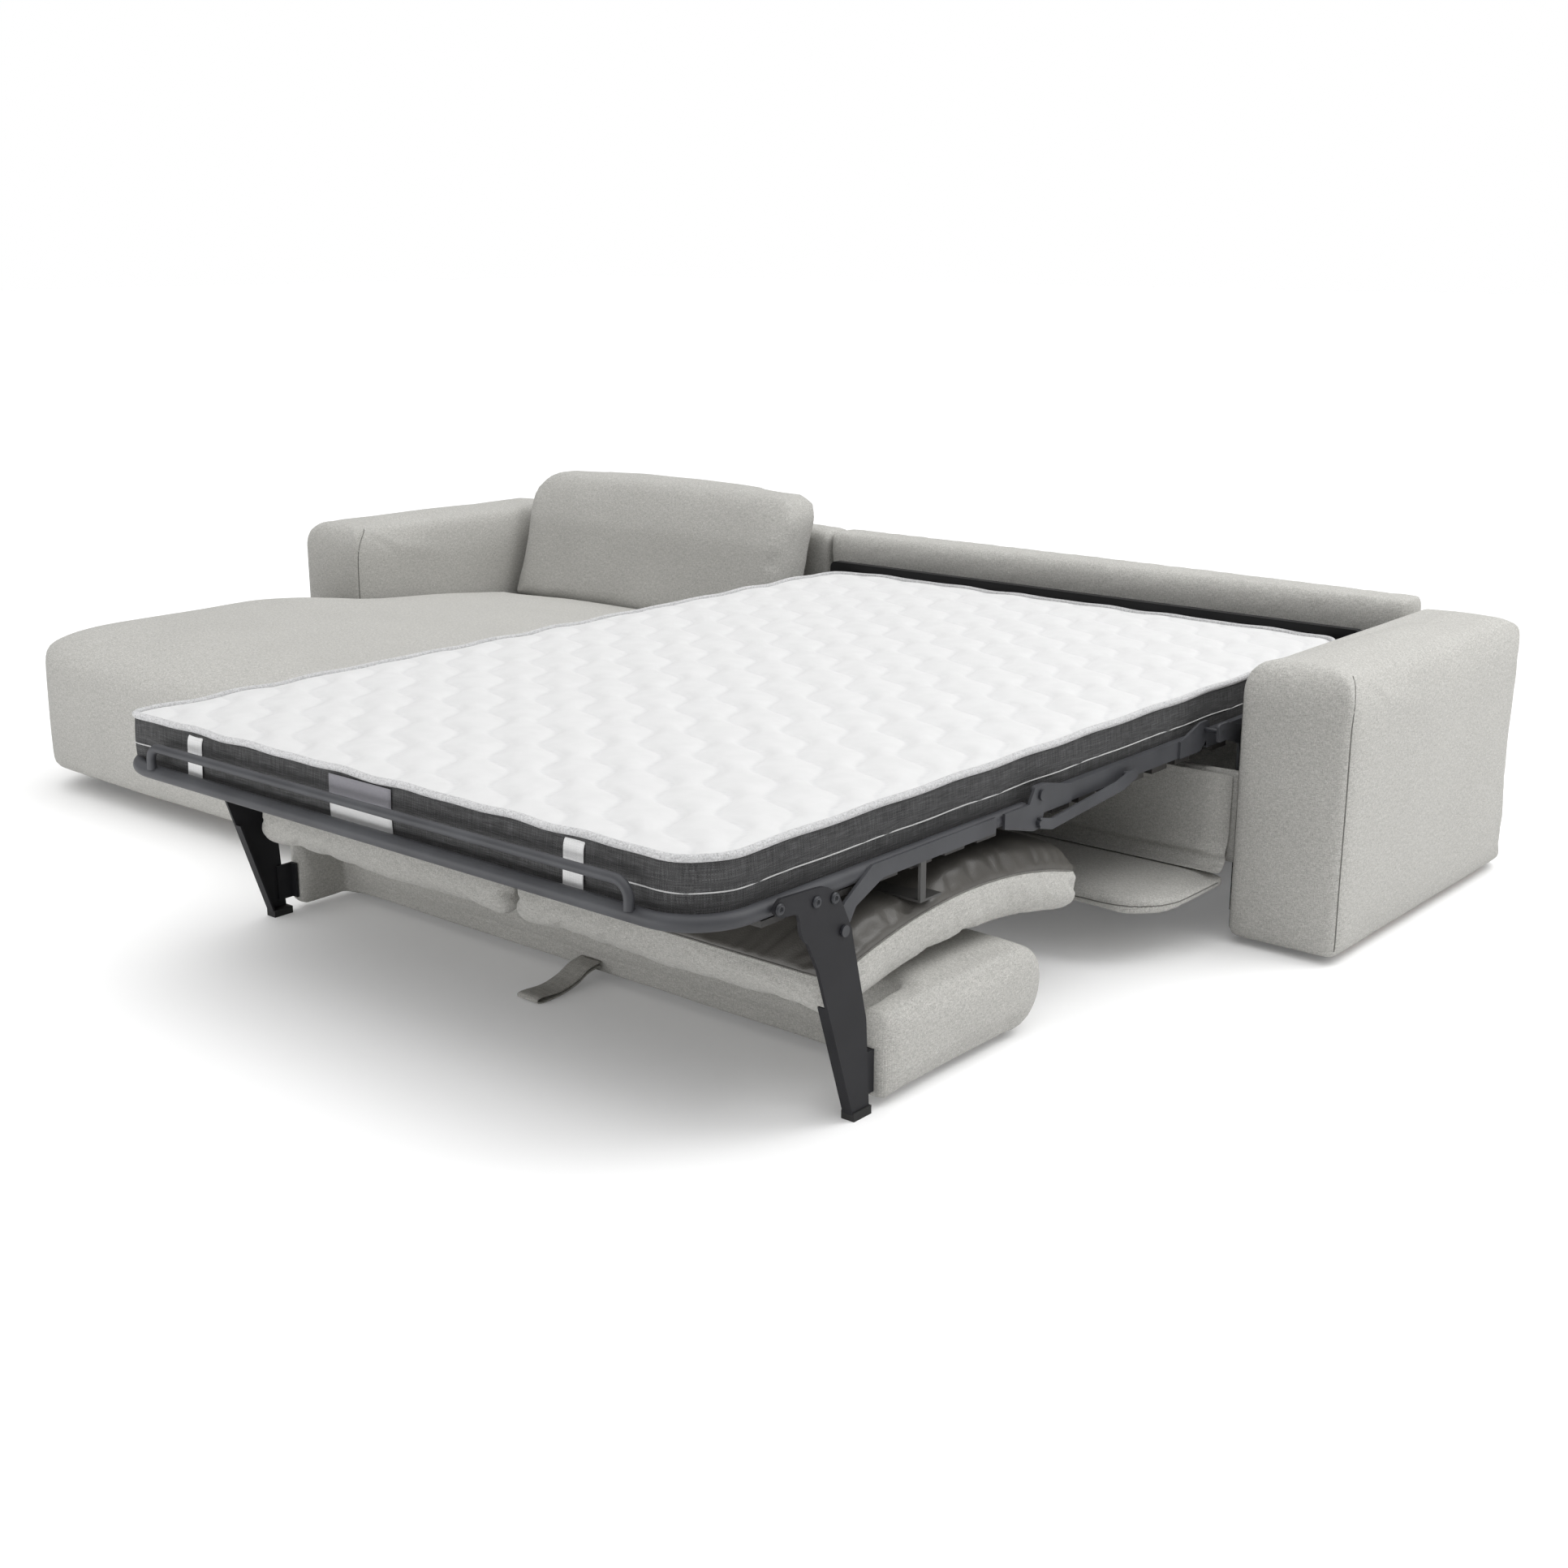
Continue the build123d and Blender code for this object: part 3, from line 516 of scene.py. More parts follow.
@dataclass(frozen=True)
class WovenCloth(Finish):
    """Woven cloth of uneven, heathered threads."""

    name: str
    dark: Colour
    middle: Colour
    light: Colour
    pitch: float = 0.0024
    streak: float = 0.08
    relief: float = 0.0008
    sheen: float = 0.12
    gloss: float = 0.15

    def dress(self, shader: ShaderTree, surface: bpy.types.Node) -> None:
        """Add thread tones, a slow fade and the weave's relief.

        Args:
            shader: the material's tree.
            surface: its Principled shader.
        """
        weave = shader.place_group(Effects.weave(), Pitch=self.pitch, Streak=self.streak)
        mottle = shader.place_group(Effects.mottle(), Slow=5.0, Fine=600.0)
        stops = [(0.3, self.dark), (0.5, self.middle), (0.72, self.light)]
        threads = shader.ramp(weave.outputs["Tone"], stops)
        faded, fresh = (0.93, 0.93, 0.93, 1.0), (1.04, 1.04, 1.04, 1.0)
        fade = shader.mix_colour(mottle.outputs["Slow Tone"], faded, fresh)
        shader.feed(surface.inputs["Base Color"], shader.mix_colour(1.0, threads, fade, "MULTIPLY"))
        shader.feed(surface.inputs["Normal"], shader.bump(weave.outputs["Height"], 0.55, self.relief))
        surface.inputs["Roughness"].default_value = 0.92
        surface.inputs["Specular IOR Level"].default_value = self.gloss
        surface.inputs["Sheen Weight"].default_value = self.sheen
        surface.inputs["Sheen Roughness"].default_value = 0.5


@dataclass(frozen=True)
class QuiltedTicking(Finish):
    """White knitted ticking, painted a little darker along the stitched lines and in the quilted valleys
    round them: the thread's own tone and painted shade.
    """

    name: str = "quilted_ticking"
    thread: Colour = (0.60, 0.60, 0.605)
    puff: Colour = (0.66, 0.66, 0.66)

    def dress(self, shader: ShaderTree, surface: bpy.types.Node) -> None:
        """Add the stitched lines' tone and the knit's relief.

        Args:
            shader: the material's tree.
            surface: its Principled shader.
        """
        lines = shader.add("ShaderNodeAttribute", attribute_name="quilt").outputs["Fac"]
        weave = shader.place_group(Effects.weave(), Pitch=0.0016, Streak=0.4)
        mottle = shader.place_group(Effects.mottle(), Slow=30.0, Fine=700.0)
        # Painted shade: the ramp darkens the ticking near each stitched line, for the thread and for the
        # shade in the quilted valleys.
        cloth = shader.ramp(lines, [(0.0, self.thread), (0.3, self.puff)])
        specks = [(0.35, (0.96, 0.96, 0.96)), (0.65, (1.0, 1.0, 1.0))]
        speck = shader.ramp(mottle.outputs["Slow Tone"], specks)
        shader.feed(surface.inputs["Base Color"], shader.mix_colour(1.0, cloth, speck, "MULTIPLY"))
        height = shader.math("ADD", weave.outputs["Height"], mottle.outputs["Slow Tone"])
        shader.feed(surface.inputs["Normal"], shader.bump(height, 0.35, 0.0007))
        surface.inputs["Roughness"].default_value = 0.85
        surface.inputs["Specular IOR Level"].default_value = 0.25
        surface.inputs["Sheen Weight"].default_value = 0.15


@dataclass(frozen=True)
class PowderCoat(Finish):
    """Satin powder coat on steel, with a fine orange peel."""

    name: str
    deep: Colour
    bright: Colour
    roughness: tuple[float, float] = (0.45, 0.6)
    gloss: float = 0.4

    def dress(self, shader: ShaderTree, surface: bpy.types.Node) -> None:
        """Add slow tone changes, uneven gloss and the peel's relief.

        Args:
            shader: the material's tree.
            surface: its Principled shader.
        """
        mottle = shader.place_group(Effects.mottle(), Slow=9.0, Fine=750.0)
        colour = shader.ramp(mottle.outputs["Slow Tone"], [(0.35, self.deep), (0.68, self.bright)])
        shader.feed(surface.inputs["Base Color"], colour)
        shader.feed(surface.inputs["Roughness"], shader.mix(mottle.outputs["Slow Tone"], *self.roughness))
        shader.feed(surface.inputs["Normal"], shader.bump(mottle.outputs["Fine Grain"], 0.3, 0.0004))
        surface.inputs["Specular IOR Level"].default_value = self.gloss


@dataclass(frozen=True)
class Leatherette(Finish):
    """Dark coated lining with a fine pebble grain."""

    name: str = "dark_lining"
    deep: Colour = (0.062, 0.058, 0.052)
    bright: Colour = (0.092, 0.087, 0.078)

    def dress(self, shader: ShaderTree, surface: bpy.types.Node) -> None:
        """Add slow tone changes, pebbles and uneven gloss.

        Args:
            shader: the material's tree.
            surface: its Principled shader.
        """
        place = shader.add("ShaderNodeTexCoord").outputs["Object"]
        mottle = shader.place_group(Effects.mottle(), Slow=7.0, Fine=500.0)
        pebbles = shader.cells(place, 420.0)
        shader.feed(
            surface.inputs["Base Color"],
            shader.ramp(mottle.outputs["Slow Tone"], [(0.35, self.deep), (0.65, self.bright)]),
        )
        shader.feed(surface.inputs["Roughness"], shader.mix(mottle.outputs["Slow Tone"], 0.36, 0.5))
        shader.feed(surface.inputs["Normal"], shader.bump(pebbles, 0.25, 0.0008))


@dataclass(frozen=True)
class Timber(Finish):
    """Bare or lacquered timber with grain along X."""

    name: str
    early: Colour
    late: Colour
    roughness: float = 0.6

    def dress(self, shader: ShaderTree, surface: bpy.types.Node) -> None:
        """Add grain tones and a slight relief.

        Args:
            shader: the material's tree.
            surface: its Principled shader.
        """
        grain = shader.place_group(Effects.grain(), Draw=0.05, Rings=45.0)
        tone = shader.mix(0.3, grain.outputs["Rings"], grain.outputs["Fibre"])
        shader.feed(surface.inputs["Base Color"], shader.ramp(tone, [(0.35, self.late), (0.62, self.early)]))
        shader.feed(surface.inputs["Normal"], shader.bump(grain.outputs["Fibre"], 0.2, 0.0005))
        surface.inputs["Roughness"].default_value = self.roughness


@dataclass(frozen=True)
class Moulded(Finish):
    """Plain moulded rubber or plastic with a fine grain."""

    name: str
    deep: Colour
    bright: Colour
    roughness: float = 0.65

    def dress(self, shader: ShaderTree, surface: bpy.types.Node) -> None:
        """Add a slight tone change and grain.

        Args:
            shader: the material's tree.
            surface: its Principled shader.
        """
        mottle = shader.place_group(Effects.mottle(), Slow=25.0, Fine=1400.0)
        shader.feed(
            surface.inputs["Base Color"],
            shader.ramp(mottle.outputs["Slow Tone"], [(0.3, self.deep), (0.7, self.bright)]),
        )
        shader.feed(surface.inputs["Normal"], shader.bump(mottle.outputs["Fine Grain"], 0.2, 0.0003))
        surface.inputs["Roughness"].default_value = self.roughness


SOFA_CLOTH = WovenCloth(
    "sofa_cloth", (0.30, 0.294, 0.276), (0.46, 0.454, 0.43), (0.66, 0.652, 0.622), pitch=0.0021, streak=0.3
)
SEAM_CLOTH = WovenCloth("seam_cloth", (0.10, 0.098, 0.09), (0.17, 0.167, 0.155), (0.24, 0.235, 0.22))
BORDER_CLOTH = WovenCloth(
    "mattress_border", (0.031, 0.031, 0.032), (0.071, 0.071, 0.072), (0.148, 0.148, 0.15), pitch=0.0018,
    streak=0.05, sheen=0.0, gloss=0.08,
)
PIPING_CLOTH = WovenCloth(
    "mesh_piping", (0.34, 0.34, 0.345), (0.56, 0.56, 0.565), (0.72, 0.72, 0.725), pitch=0.0035, streak=0.6,
    relief=0.002,
)
CORD_CLOTH = WovenCloth(
    "border_cord", (0.40, 0.40, 0.40), (0.55, 0.55, 0.55), (0.66, 0.66, 0.66), pitch=0.0012, streak=0.3
)
ELASTIC_CLOTH = WovenCloth(
    "elastic_band", (0.66, 0.66, 0.66), (0.78, 0.78, 0.78), (0.86, 0.86, 0.86), pitch=0.002, streak=0.03
)
LABEL_GREY = WovenCloth(
    "label_grey", (0.24, 0.235, 0.26), (0.28, 0.275, 0.30), (0.32, 0.315, 0.34), pitch=0.0009
)
LABEL_WHITE = WovenCloth(
    "label_white", (0.68, 0.68, 0.68), (0.76, 0.76, 0.76), (0.82, 0.82, 0.82), pitch=0.0009
)
WEBBING_CLOTH = WovenCloth(
    "pull_webbing", (0.24, 0.234, 0.216), (0.40, 0.39, 0.365), (0.58, 0.57, 0.535), pitch=0.0022, streak=0.1
)
TICKING = QuiltedTicking()
LINING = Leatherette()
CHARCOAL = PowderCoat("charcoal_coat", (0.036, 0.037, 0.042), (0.054, 0.056, 0.062))
# A darker copy of the charcoal coat: painted shade for the legs and backrest brackets, which stand in shade.
SHADE_DARKENED_COAT = PowderCoat("shade_darkened_coat", (0.012, 0.012, 0.014), (0.019, 0.019, 0.022), gloss=0.22)
GREY_SHEET = PowderCoat("grey_sheet", (0.045, 0.044, 0.042), (0.07, 0.068, 0.065), (0.4, 0.55))
RIVET_STEEL = PowderCoat("rivet_steel", (0.02, 0.021, 0.025), (0.035, 0.037, 0.043), (0.3, 0.45))
BLACK_COAT = PowderCoat("black_coat", (0.005, 0.005, 0.0055), (0.009, 0.009, 0.0095), (0.5, 0.65), 0.2)
PINE = Timber("pine", (0.60, 0.42, 0.25), (0.42, 0.27, 0.15))
DARK_SLAT = Timber("dark_slat", (0.022, 0.02, 0.018), (0.012, 0.011, 0.010), 0.55)
RUBBER = Moulded("cap_rubber", (0.010, 0.010, 0.010), (0.018, 0.018, 0.018), 0.75)
GLIDE = Moulded("glide_black", (0.012, 0.012, 0.013), (0.02, 0.02, 0.021), 0.5)


class Shape:
    """Mesh work that the pieces share."""

    @staticmethod
    def from_lists(name: str, points: np.ndarray, faces: Sequence[Sequence[int]]) -> bpy.types.Object:
        """Return a new smooth mesh object in the scene.

        Args:
            name: the piece's name.
            points: its corners.
            faces: corner numbers of each face.

        Returns:
            The object.
        """
        mesh = bpy.data.meshes.new(name)
        mesh.from_pydata([tuple(map(float, p)) for p in points], [], [tuple(f) for f in faces])
        mesh.update()
        mesh.polygons.foreach_set("use_smooth", [True] * len(mesh.polygons))
        thing = bpy.data.objects.new(name, mesh)
        bpy.context.scene.collection.objects.link(thing)
        return thing

    @staticmethod
    def points(thing: bpy.types.Object) -> np.ndarray:
        """Read an object's mesh points.

        Args:
            thing: the object.

        Returns:
            One row for each point.
        """
        flat = np.empty(len(thing.data.vertices) * 3)
        thing.data.vertices.foreach_get("co", flat)
        return flat.reshape(-1, 3)

    @staticmethod
    def set_points(thing: bpy.types.Object, points: np.ndarray) -> None:
        """Move an object's mesh points."""
        thing.data.vertices.foreach_set("co", points.astype(np.float32).ravel())
        thing.data.update()

    @staticmethod
    def normals(thing: bpy.types.Object) -> np.ndarray:
        """Read the normals at an object's mesh points.

        Args:
            thing: the object.

        Returns:
            One row for each point.
        """
        flat = np.empty(len(thing.data.vertices) * 3)
        thing.data.vertices.foreach_get("normal", flat)
        return flat.reshape(-1, 3)

    @staticmethod
    def tree(thing: bpy.types.Object) -> BVHTree:
        """Return a search tree over an object's faces."""
        faces = [tuple(p.vertices) for p in thing.data.polygons]
        return BVHTree.FromPolygons([tuple(p) for p in Shape.points(thing)], faces)

    @staticmethod
    def remeshed(name: str, nodes: Sequence[str], boxes: Sequence[Box], voxel: float) -> bpy.types.Object:
        """Return one even mesh round some CAD nodes and boxes.

        Args:
            name: the piece's name.
            nodes: the CAD nodes that it follows.
            boxes: boxes that it takes in, such as one that closes a hollow.
            voxel: the size of its faces.

        Returns:
            The object.
        """
        gathered = bmesh.new()
        for node in nodes:
            gathered.from_mesh(frame["nodes"][node].data)
        bmesh.ops.remove_doubles(gathered, verts=gathered.verts, dist=1e-5)
        for low, high in boxes:
            block = bmesh.ops.create_cube(gathered, size=1.0)["verts"]
            bmesh.ops.scale(gathered, vec=high - low, verts=block)
            bmesh.ops.translate(gathered, vec=(low + high) / 2, verts=block)
        mesh = bpy.data.meshes.new(name)
        gathered.to_mesh(mesh)
        gathered.free()
        rough = bpy.data.objects.new(name + "_rough", mesh)
        bpy.context.scene.collection.objects.link(rough)
        modifier = rough.modifiers.new("even", "REMESH")
        modifier.mode = "VOXEL"
        modifier.voxel_size = voxel
        modifier.adaptivity = 0.0
        graph = bpy.context.evaluated_depsgraph_get()
        even = bpy.data.meshes.new_from_object(rough.evaluated_get(graph))
        bpy.data.objects.remove(rough)
        even.name = name
        even.polygons.foreach_set("use_smooth", [True] * len(even.polygons))
        thing = bpy.data.objects.new(name, even)
        bpy.context.scene.collection.objects.link(thing)
        return thing

    @staticmethod
    def relax(thing: bpy.types.Object, rounds: int, share: float = 0.5) -> None:
        """Even out a mesh by moving points towards their neighbours' middle.

        Args:
            thing: the object.
            rounds: how many times.
            share: how far each time.
        """
        edges = np.empty(len(thing.data.edges) * 2, dtype=np.int64)
        thing.data.edges.foreach_get("vertices", edges)
        first, second = edges.reshape(-1, 2).T
        points = Shape.points(thing)
        count = np.bincount(np.concatenate([first, second]), minlength=len(points))[:, None]
        for _ in range(rounds):
            total = np.zeros_like(points)
            np.add.at(total, first, points[second])
            np.add.at(total, second, points[first])
            points += share * (total / np.maximum(count, 1) - points)
        Shape.set_points(thing, points)

    @staticmethod
    def waves(points: np.ndarray, length: float, seed: int) -> np.ndarray:
        """Work out smooth, repeatable unevenness.

        Args:
            points: the places.
            length: the usual length of a wave.
            seed: sets the waves.

        Returns:
            A value between about -1 and 1 at each place.
        """
        source = np.random.default_rng(seed)
        total = np.zeros(len(points))
        for _ in range(9):
            direction = source.normal(size=3)
            direction /= np.linalg.norm(direction)
            pitch = (2 * math.pi / length) * source.uniform(0.6, 1.5)
            total += np.sin(points @ direction * pitch + source.uniform(0, 6.3))
        return total / 4.0

    @staticmethod
    def sweep(name: str, path: np.ndarray, radius: float, closed: bool, sides: int = 10) -> bpy.types.Object:
        """Return a round tube along a path.

        Args:
            name: the piece's name.
            path: the points of its middle line.
            radius: the tube's radius.
            closed: whether its ends join.
            sides: how many sides the tube has.

        Returns:
            The object.
        """
        count = len(path)
        ahead = np.roll(path, -1, axis=0) - np.roll(path, 1, axis=0)
        if not closed:
            ahead[0], ahead[-1] = path[1] - path[0], path[-1] - path[-2]
        ahead /= np.linalg.norm(ahead, axis=1)[:, None]
        side = np.cross(ahead, (0.0, 0.0, 1.0))
        flat = np.linalg.norm(side, axis=1) < 0.2
        side[flat] = np.cross(ahead[flat], (0.0, 1.0, 0.0))
        side /= np.linalg.norm(side, axis=1)[:, None]
        lift = np.cross(side, ahead)
        turn = np.linspace(0, 2 * math.pi, sides, endpoint=False)
        rings = path[:, None] + radius * (
            np.cos(turn)[None, :, None] * side[:, None] + np.sin(turn)[None, :, None] * lift[:, None]
        )
        faces = []
        for i in range(count if closed else count - 1):
            j = (i + 1) % count
            for k in range(sides):
                m = (k + 1) % sides
                faces.append((i * sides + k, i * sides + m, j * sides + m, j * sides + k))
        if not closed:
            faces.append(tuple(range(sides)))
            faces.append(tuple((count - 1) * sides + k for k in reversed(range(sides))))
        return Shape.from_lists(name, rings.reshape(-1, 3), faces)

    @staticmethod
    def ribbon(name: str, path: np.ndarray, turn: float, width: float, thick: float) -> bpy.types.Object:
        """Return a flat band whose width lies along X.

        Args:
            name: the piece's name.
            path: the points of its middle line.
            turn: 1 where its outer face is on the right of the path seen from +X, -1 where on the left.
            width: its width.
            thick: its thickness.

        Returns:
            The object.
        """
        out = np.cross(np.gradient(path, axis=0), (turn, 0.0, 0.0))
        out /= np.linalg.norm(out, axis=1)[:, None]
        across = np.array([-0.5, -0.46, -0.2, 0.2, 0.46, 0.5]) * width
        shrink = np.array([0.3, 1.0, 1.0, 1.0, 1.0, 0.3]) * thick / 2
        loop_x = np.concatenate([across, across[::-1]])
        loop_out = np.concatenate([shrink, -shrink[::-1]])
        size = len(loop_x)
        points = path[:, None, :] + loop_out[None, :, None] * out[:, None, :]
        points = points + np.stack([loop_x, np.zeros(size), np.zeros(size)], axis=1)[None]
        faces = []
        for i in range(len(path) - 1):
            for k in range(size):
                m = (k + 1) % size
                faces.append((i * size + k, i * size + m, (i + 1) * size + m, (i + 1) * size + k))
        faces.append(tuple(reversed(range(size))))
        faces.append(tuple((len(path) - 1) * size + k for k in range(size)))
        thing = Shape.from_lists(name, points.reshape(-1, 3), faces)
        Shape.face_outwards(thing)
        return thing

    @staticmethod
    def face_outwards(thing: bpy.types.Object) -> None:
        """Turn a closed mesh's faces outwards.

        Args:
            thing: the object.
        """
        work = bmesh.new()
        work.from_mesh(thing.data)
        bmesh.ops.recalc_face_normals(work, faces=work.faces)
        work.to_mesh(thing.data)
        work.free()

    @staticmethod
    def smooth_path(corners: Sequence[Sequence[float]], step: float) -> np.ndarray:
        """Return evenly spaced points on a smooth line through some corners.

        Args:
            corners: the points it passes.
            step: the spacing.

        Returns:
            The points.
        """
        base = np.array(corners, float)
        padded = np.vstack([2 * base[0] - base[1], base, 2 * base[-1] - base[-2]])
        share = np.linspace(0, 1, 24, endpoint=False)[:, None]
        parts = []
        for i in range(len(base) - 1):
            a, b, c, d = padded[i:i + 4]
            parts.append(
                0.5 * (2 * b + (c - a) * share + (2 * a - 5 * b + 4 * c - d) * share**2
                       + (3 * b - a - 3 * c + d) * share**3)
            )
        line = np.vstack([*parts, base[-1:]])
        run = np.concatenate([[0], np.cumsum(np.linalg.norm(np.diff(line, axis=0), axis=1))])
        places = np.linspace(0, run[-1], max(2, int(round(run[-1] / step)) + 1))
        return np.stack([np.interp(places, run, line[:, k]) for k in range(3)], axis=1)


@dataclass
class ClothJob:
    """One padded piece that waits for its cloth run."""

    thing: bpy.types.Object
    pins: np.ndarray
    pressure: float
    cap: float
    slack: float


class ClothPress:
    """Runs the cloth of all padded pieces together and keeps the result in their meshes."""

    frames: int = 16

    def __init__(self) -> None:
        """Start with no jobs."""
        self.jobs: list[ClothJob] = []

    def add(self, job: ClothJob) -> None:
        """Queue one piece."""
        self.jobs.append(job)

    def prepare(self, job: ClothJob) -> None:
        """Give a piece its cloth settings.

        Args:
            job: the piece and how it swells.
        """
        group = job.thing.vertex_groups.new(name="held")
        for weight in np.unique(np.round(job.pins, 1)):
            if weight > 0:
                chosen = np.nonzero(np.round(job.pins, 1) == weight)[0]
                group.add(chosen.tolist(), float(weight), "REPLACE")
        modifier = job.thing.modifiers.new("cloth", "CLOTH")
        modifier.point_cache.frame_start = 1
        modifier.point_cache.frame_end = self.frames
        settings = modifier.settings
        settings.quality = 4
        settings.mass = 0.3
        settings.tension_stiffness = 12.0
        settings.compression_stiffness = 12.0
        settings.shear_stiffness = 4.0
        settings.bending_stiffness = 0.4
        settings.use_pressure = True
        settings.uniform_pressure_force = job.pressure
        settings.effector_weights.gravity = 0.0
        settings.shrink_min = -job.slack
        settings.vertex_group_mass = "held"
        modifier.collision_settings.use_collision = False
        modifier.collision_settings.use_self_collision = False

    def run(self) -> None:
        """Step the cloth, cap how far each point moves and drop the modifiers."""
        before = [Shape.points(job.thing) for job in self.jobs]
        for job in self.jobs:
            self.prepare(job)
        scene = bpy.context.scene
        for step in range(1, self.frames + 1):
            scene.frame_set(step)
        graph = bpy.context.evaluated_depsgraph_get()
        for job, start in zip(self.jobs, before):
            moved = Shape.points(job.thing.evaluated_get(graph))
            shift = moved - start
            reach = np.linalg.norm(shift, axis=1)
            soft = job.cap * np.tanh(reach / job.cap)
            shift *= (soft / np.maximum(reach, 1e-9))[:, None]
            job.thing.modifiers.clear()
            Shape.set_points(job.thing, start + shift)
            LOG.info("cloth %s: moved up to %.1f mm", job.thing.name, 1000 * soft.max())
        scene.frame_set(1)


PRESS = ClothPress()


@dataclass
class Seam:
    """A sewn line that lies in a shallow groove of a padded piece."""

    name: str
    corners: Sequence[Sequence[float]]
    depth: float = 0.004
    width: float = 0.010
    cord: float = 0.0014

    def sew(self, piece: bpy.types.Object, body: Body) -> None:
        """Press the groove into a piece and lay the stitched line in it.

        Args:
            piece: the padded piece.
            body: the body that it rides on.
        """
        search = Shape.tree(piece)
        rough = Shape.smooth_path(self.corners, 0.006)
        line = np.array([search.find_nearest(Vector(p))[0] for p in rough])
        for _ in range(3):
            line[1:-1] = 0.25 * line[:-2] + 0.5 * line[1:-1] + 0.25 * line[2:]
        points, normals = Shape.points(piece), Shape.normals(piece)
        low, high = line.min(0) - 3 * self.width, line.max(0) + 3 * self.width
        near = np.nonzero(np.all((points > low) & (points < high), axis=1))[0]
        gap = np.min(np.linalg.norm(points[near][:, None] - line[None], axis=2), axis=1)
        points[near] -= normals[near] * (self.depth * np.exp(-(gap / self.width) ** 2))[:, None]
        Shape.set_points(piece, points)
        search = Shape.tree(piece)
        laid = []
        for point in line:
            spot, normal, _, _ = search.find_nearest(Vector(point))
            laid.append(np.array(spot) - np.array(normal) * self.cord * 0.2)
        cord = Shape.sweep(self.name, np.array(laid), self.cord, False, 6)
        dress(cord, SEAM_CLOTH, body, Slot.FABRIC)


def dress(thing: bpy.types.Object, finish: Finish, body: Body, slot: Slot) -> bpy.types.Object:
    """Give a new piece its finish and its body.

    Args:
        thing: the piece.
        finish: its finish.
        body: the body that it rides on.
        slot: not used.

    Returns:
        The piece.
    """
    thing.data.materials.clear()
    thing.data.materials.append(finish.material())
    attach(thing, body.value)
    LOG.info("piece %s on %s", thing.name, body.value)
    return thing


@dataclass(frozen=True)
class Rounding:
    """How a block's faces run into each other: the curve's reach from each face in X, Y and Z, 0 for none."""

    low: Sides
    high: Sides
    power: float = 2.0
    lean: float = 0.0

    def draw_in(self, points: np.ndarray, box: Box) -> np.ndarray:
        """Return points drawn in to the rounded form.

        Args:
            points: a skin's points.
            box: the block's low and high corners.

        Returns:
            The moved points.
        """
        low, high = np.array(box[0]), np.array(box[1])
        share = np.clip((points[:, 2] - low[2]) / (high[2] - low[2]), 0, 1)
        place = points - np.stack([np.zeros_like(share), self.lean * share, np.zeros_like(share)], axis=1)
        high = high - (0.0, self.lean, 0.0)
        under = np.minimum(place - (low + self.low), 0)
        over = np.maximum(place - (high - self.high), 0)
        level = -under / np.maximum(self.low, 1e-5) + over / np.maximum(self.high, 1e-5)
        plan = (level[:, 0] ** self.power + level[:, 1] ** self.power) ** (1 / self.power)
        reach = np.hypot(plan, level[:, 2])
        shrink = 1 / np.maximum(reach, 1.0)
        return points + (under + over) * (shrink - 1)[:, None]

    def mirrored(self) -> "Rounding":
        """Return the same rounding with left and right changed over."""
        low, high = (self.high[0], *self.low[1:]), (self.low[0], *self.high[1:])
        return Rounding(low, high, self.power, self.lean)


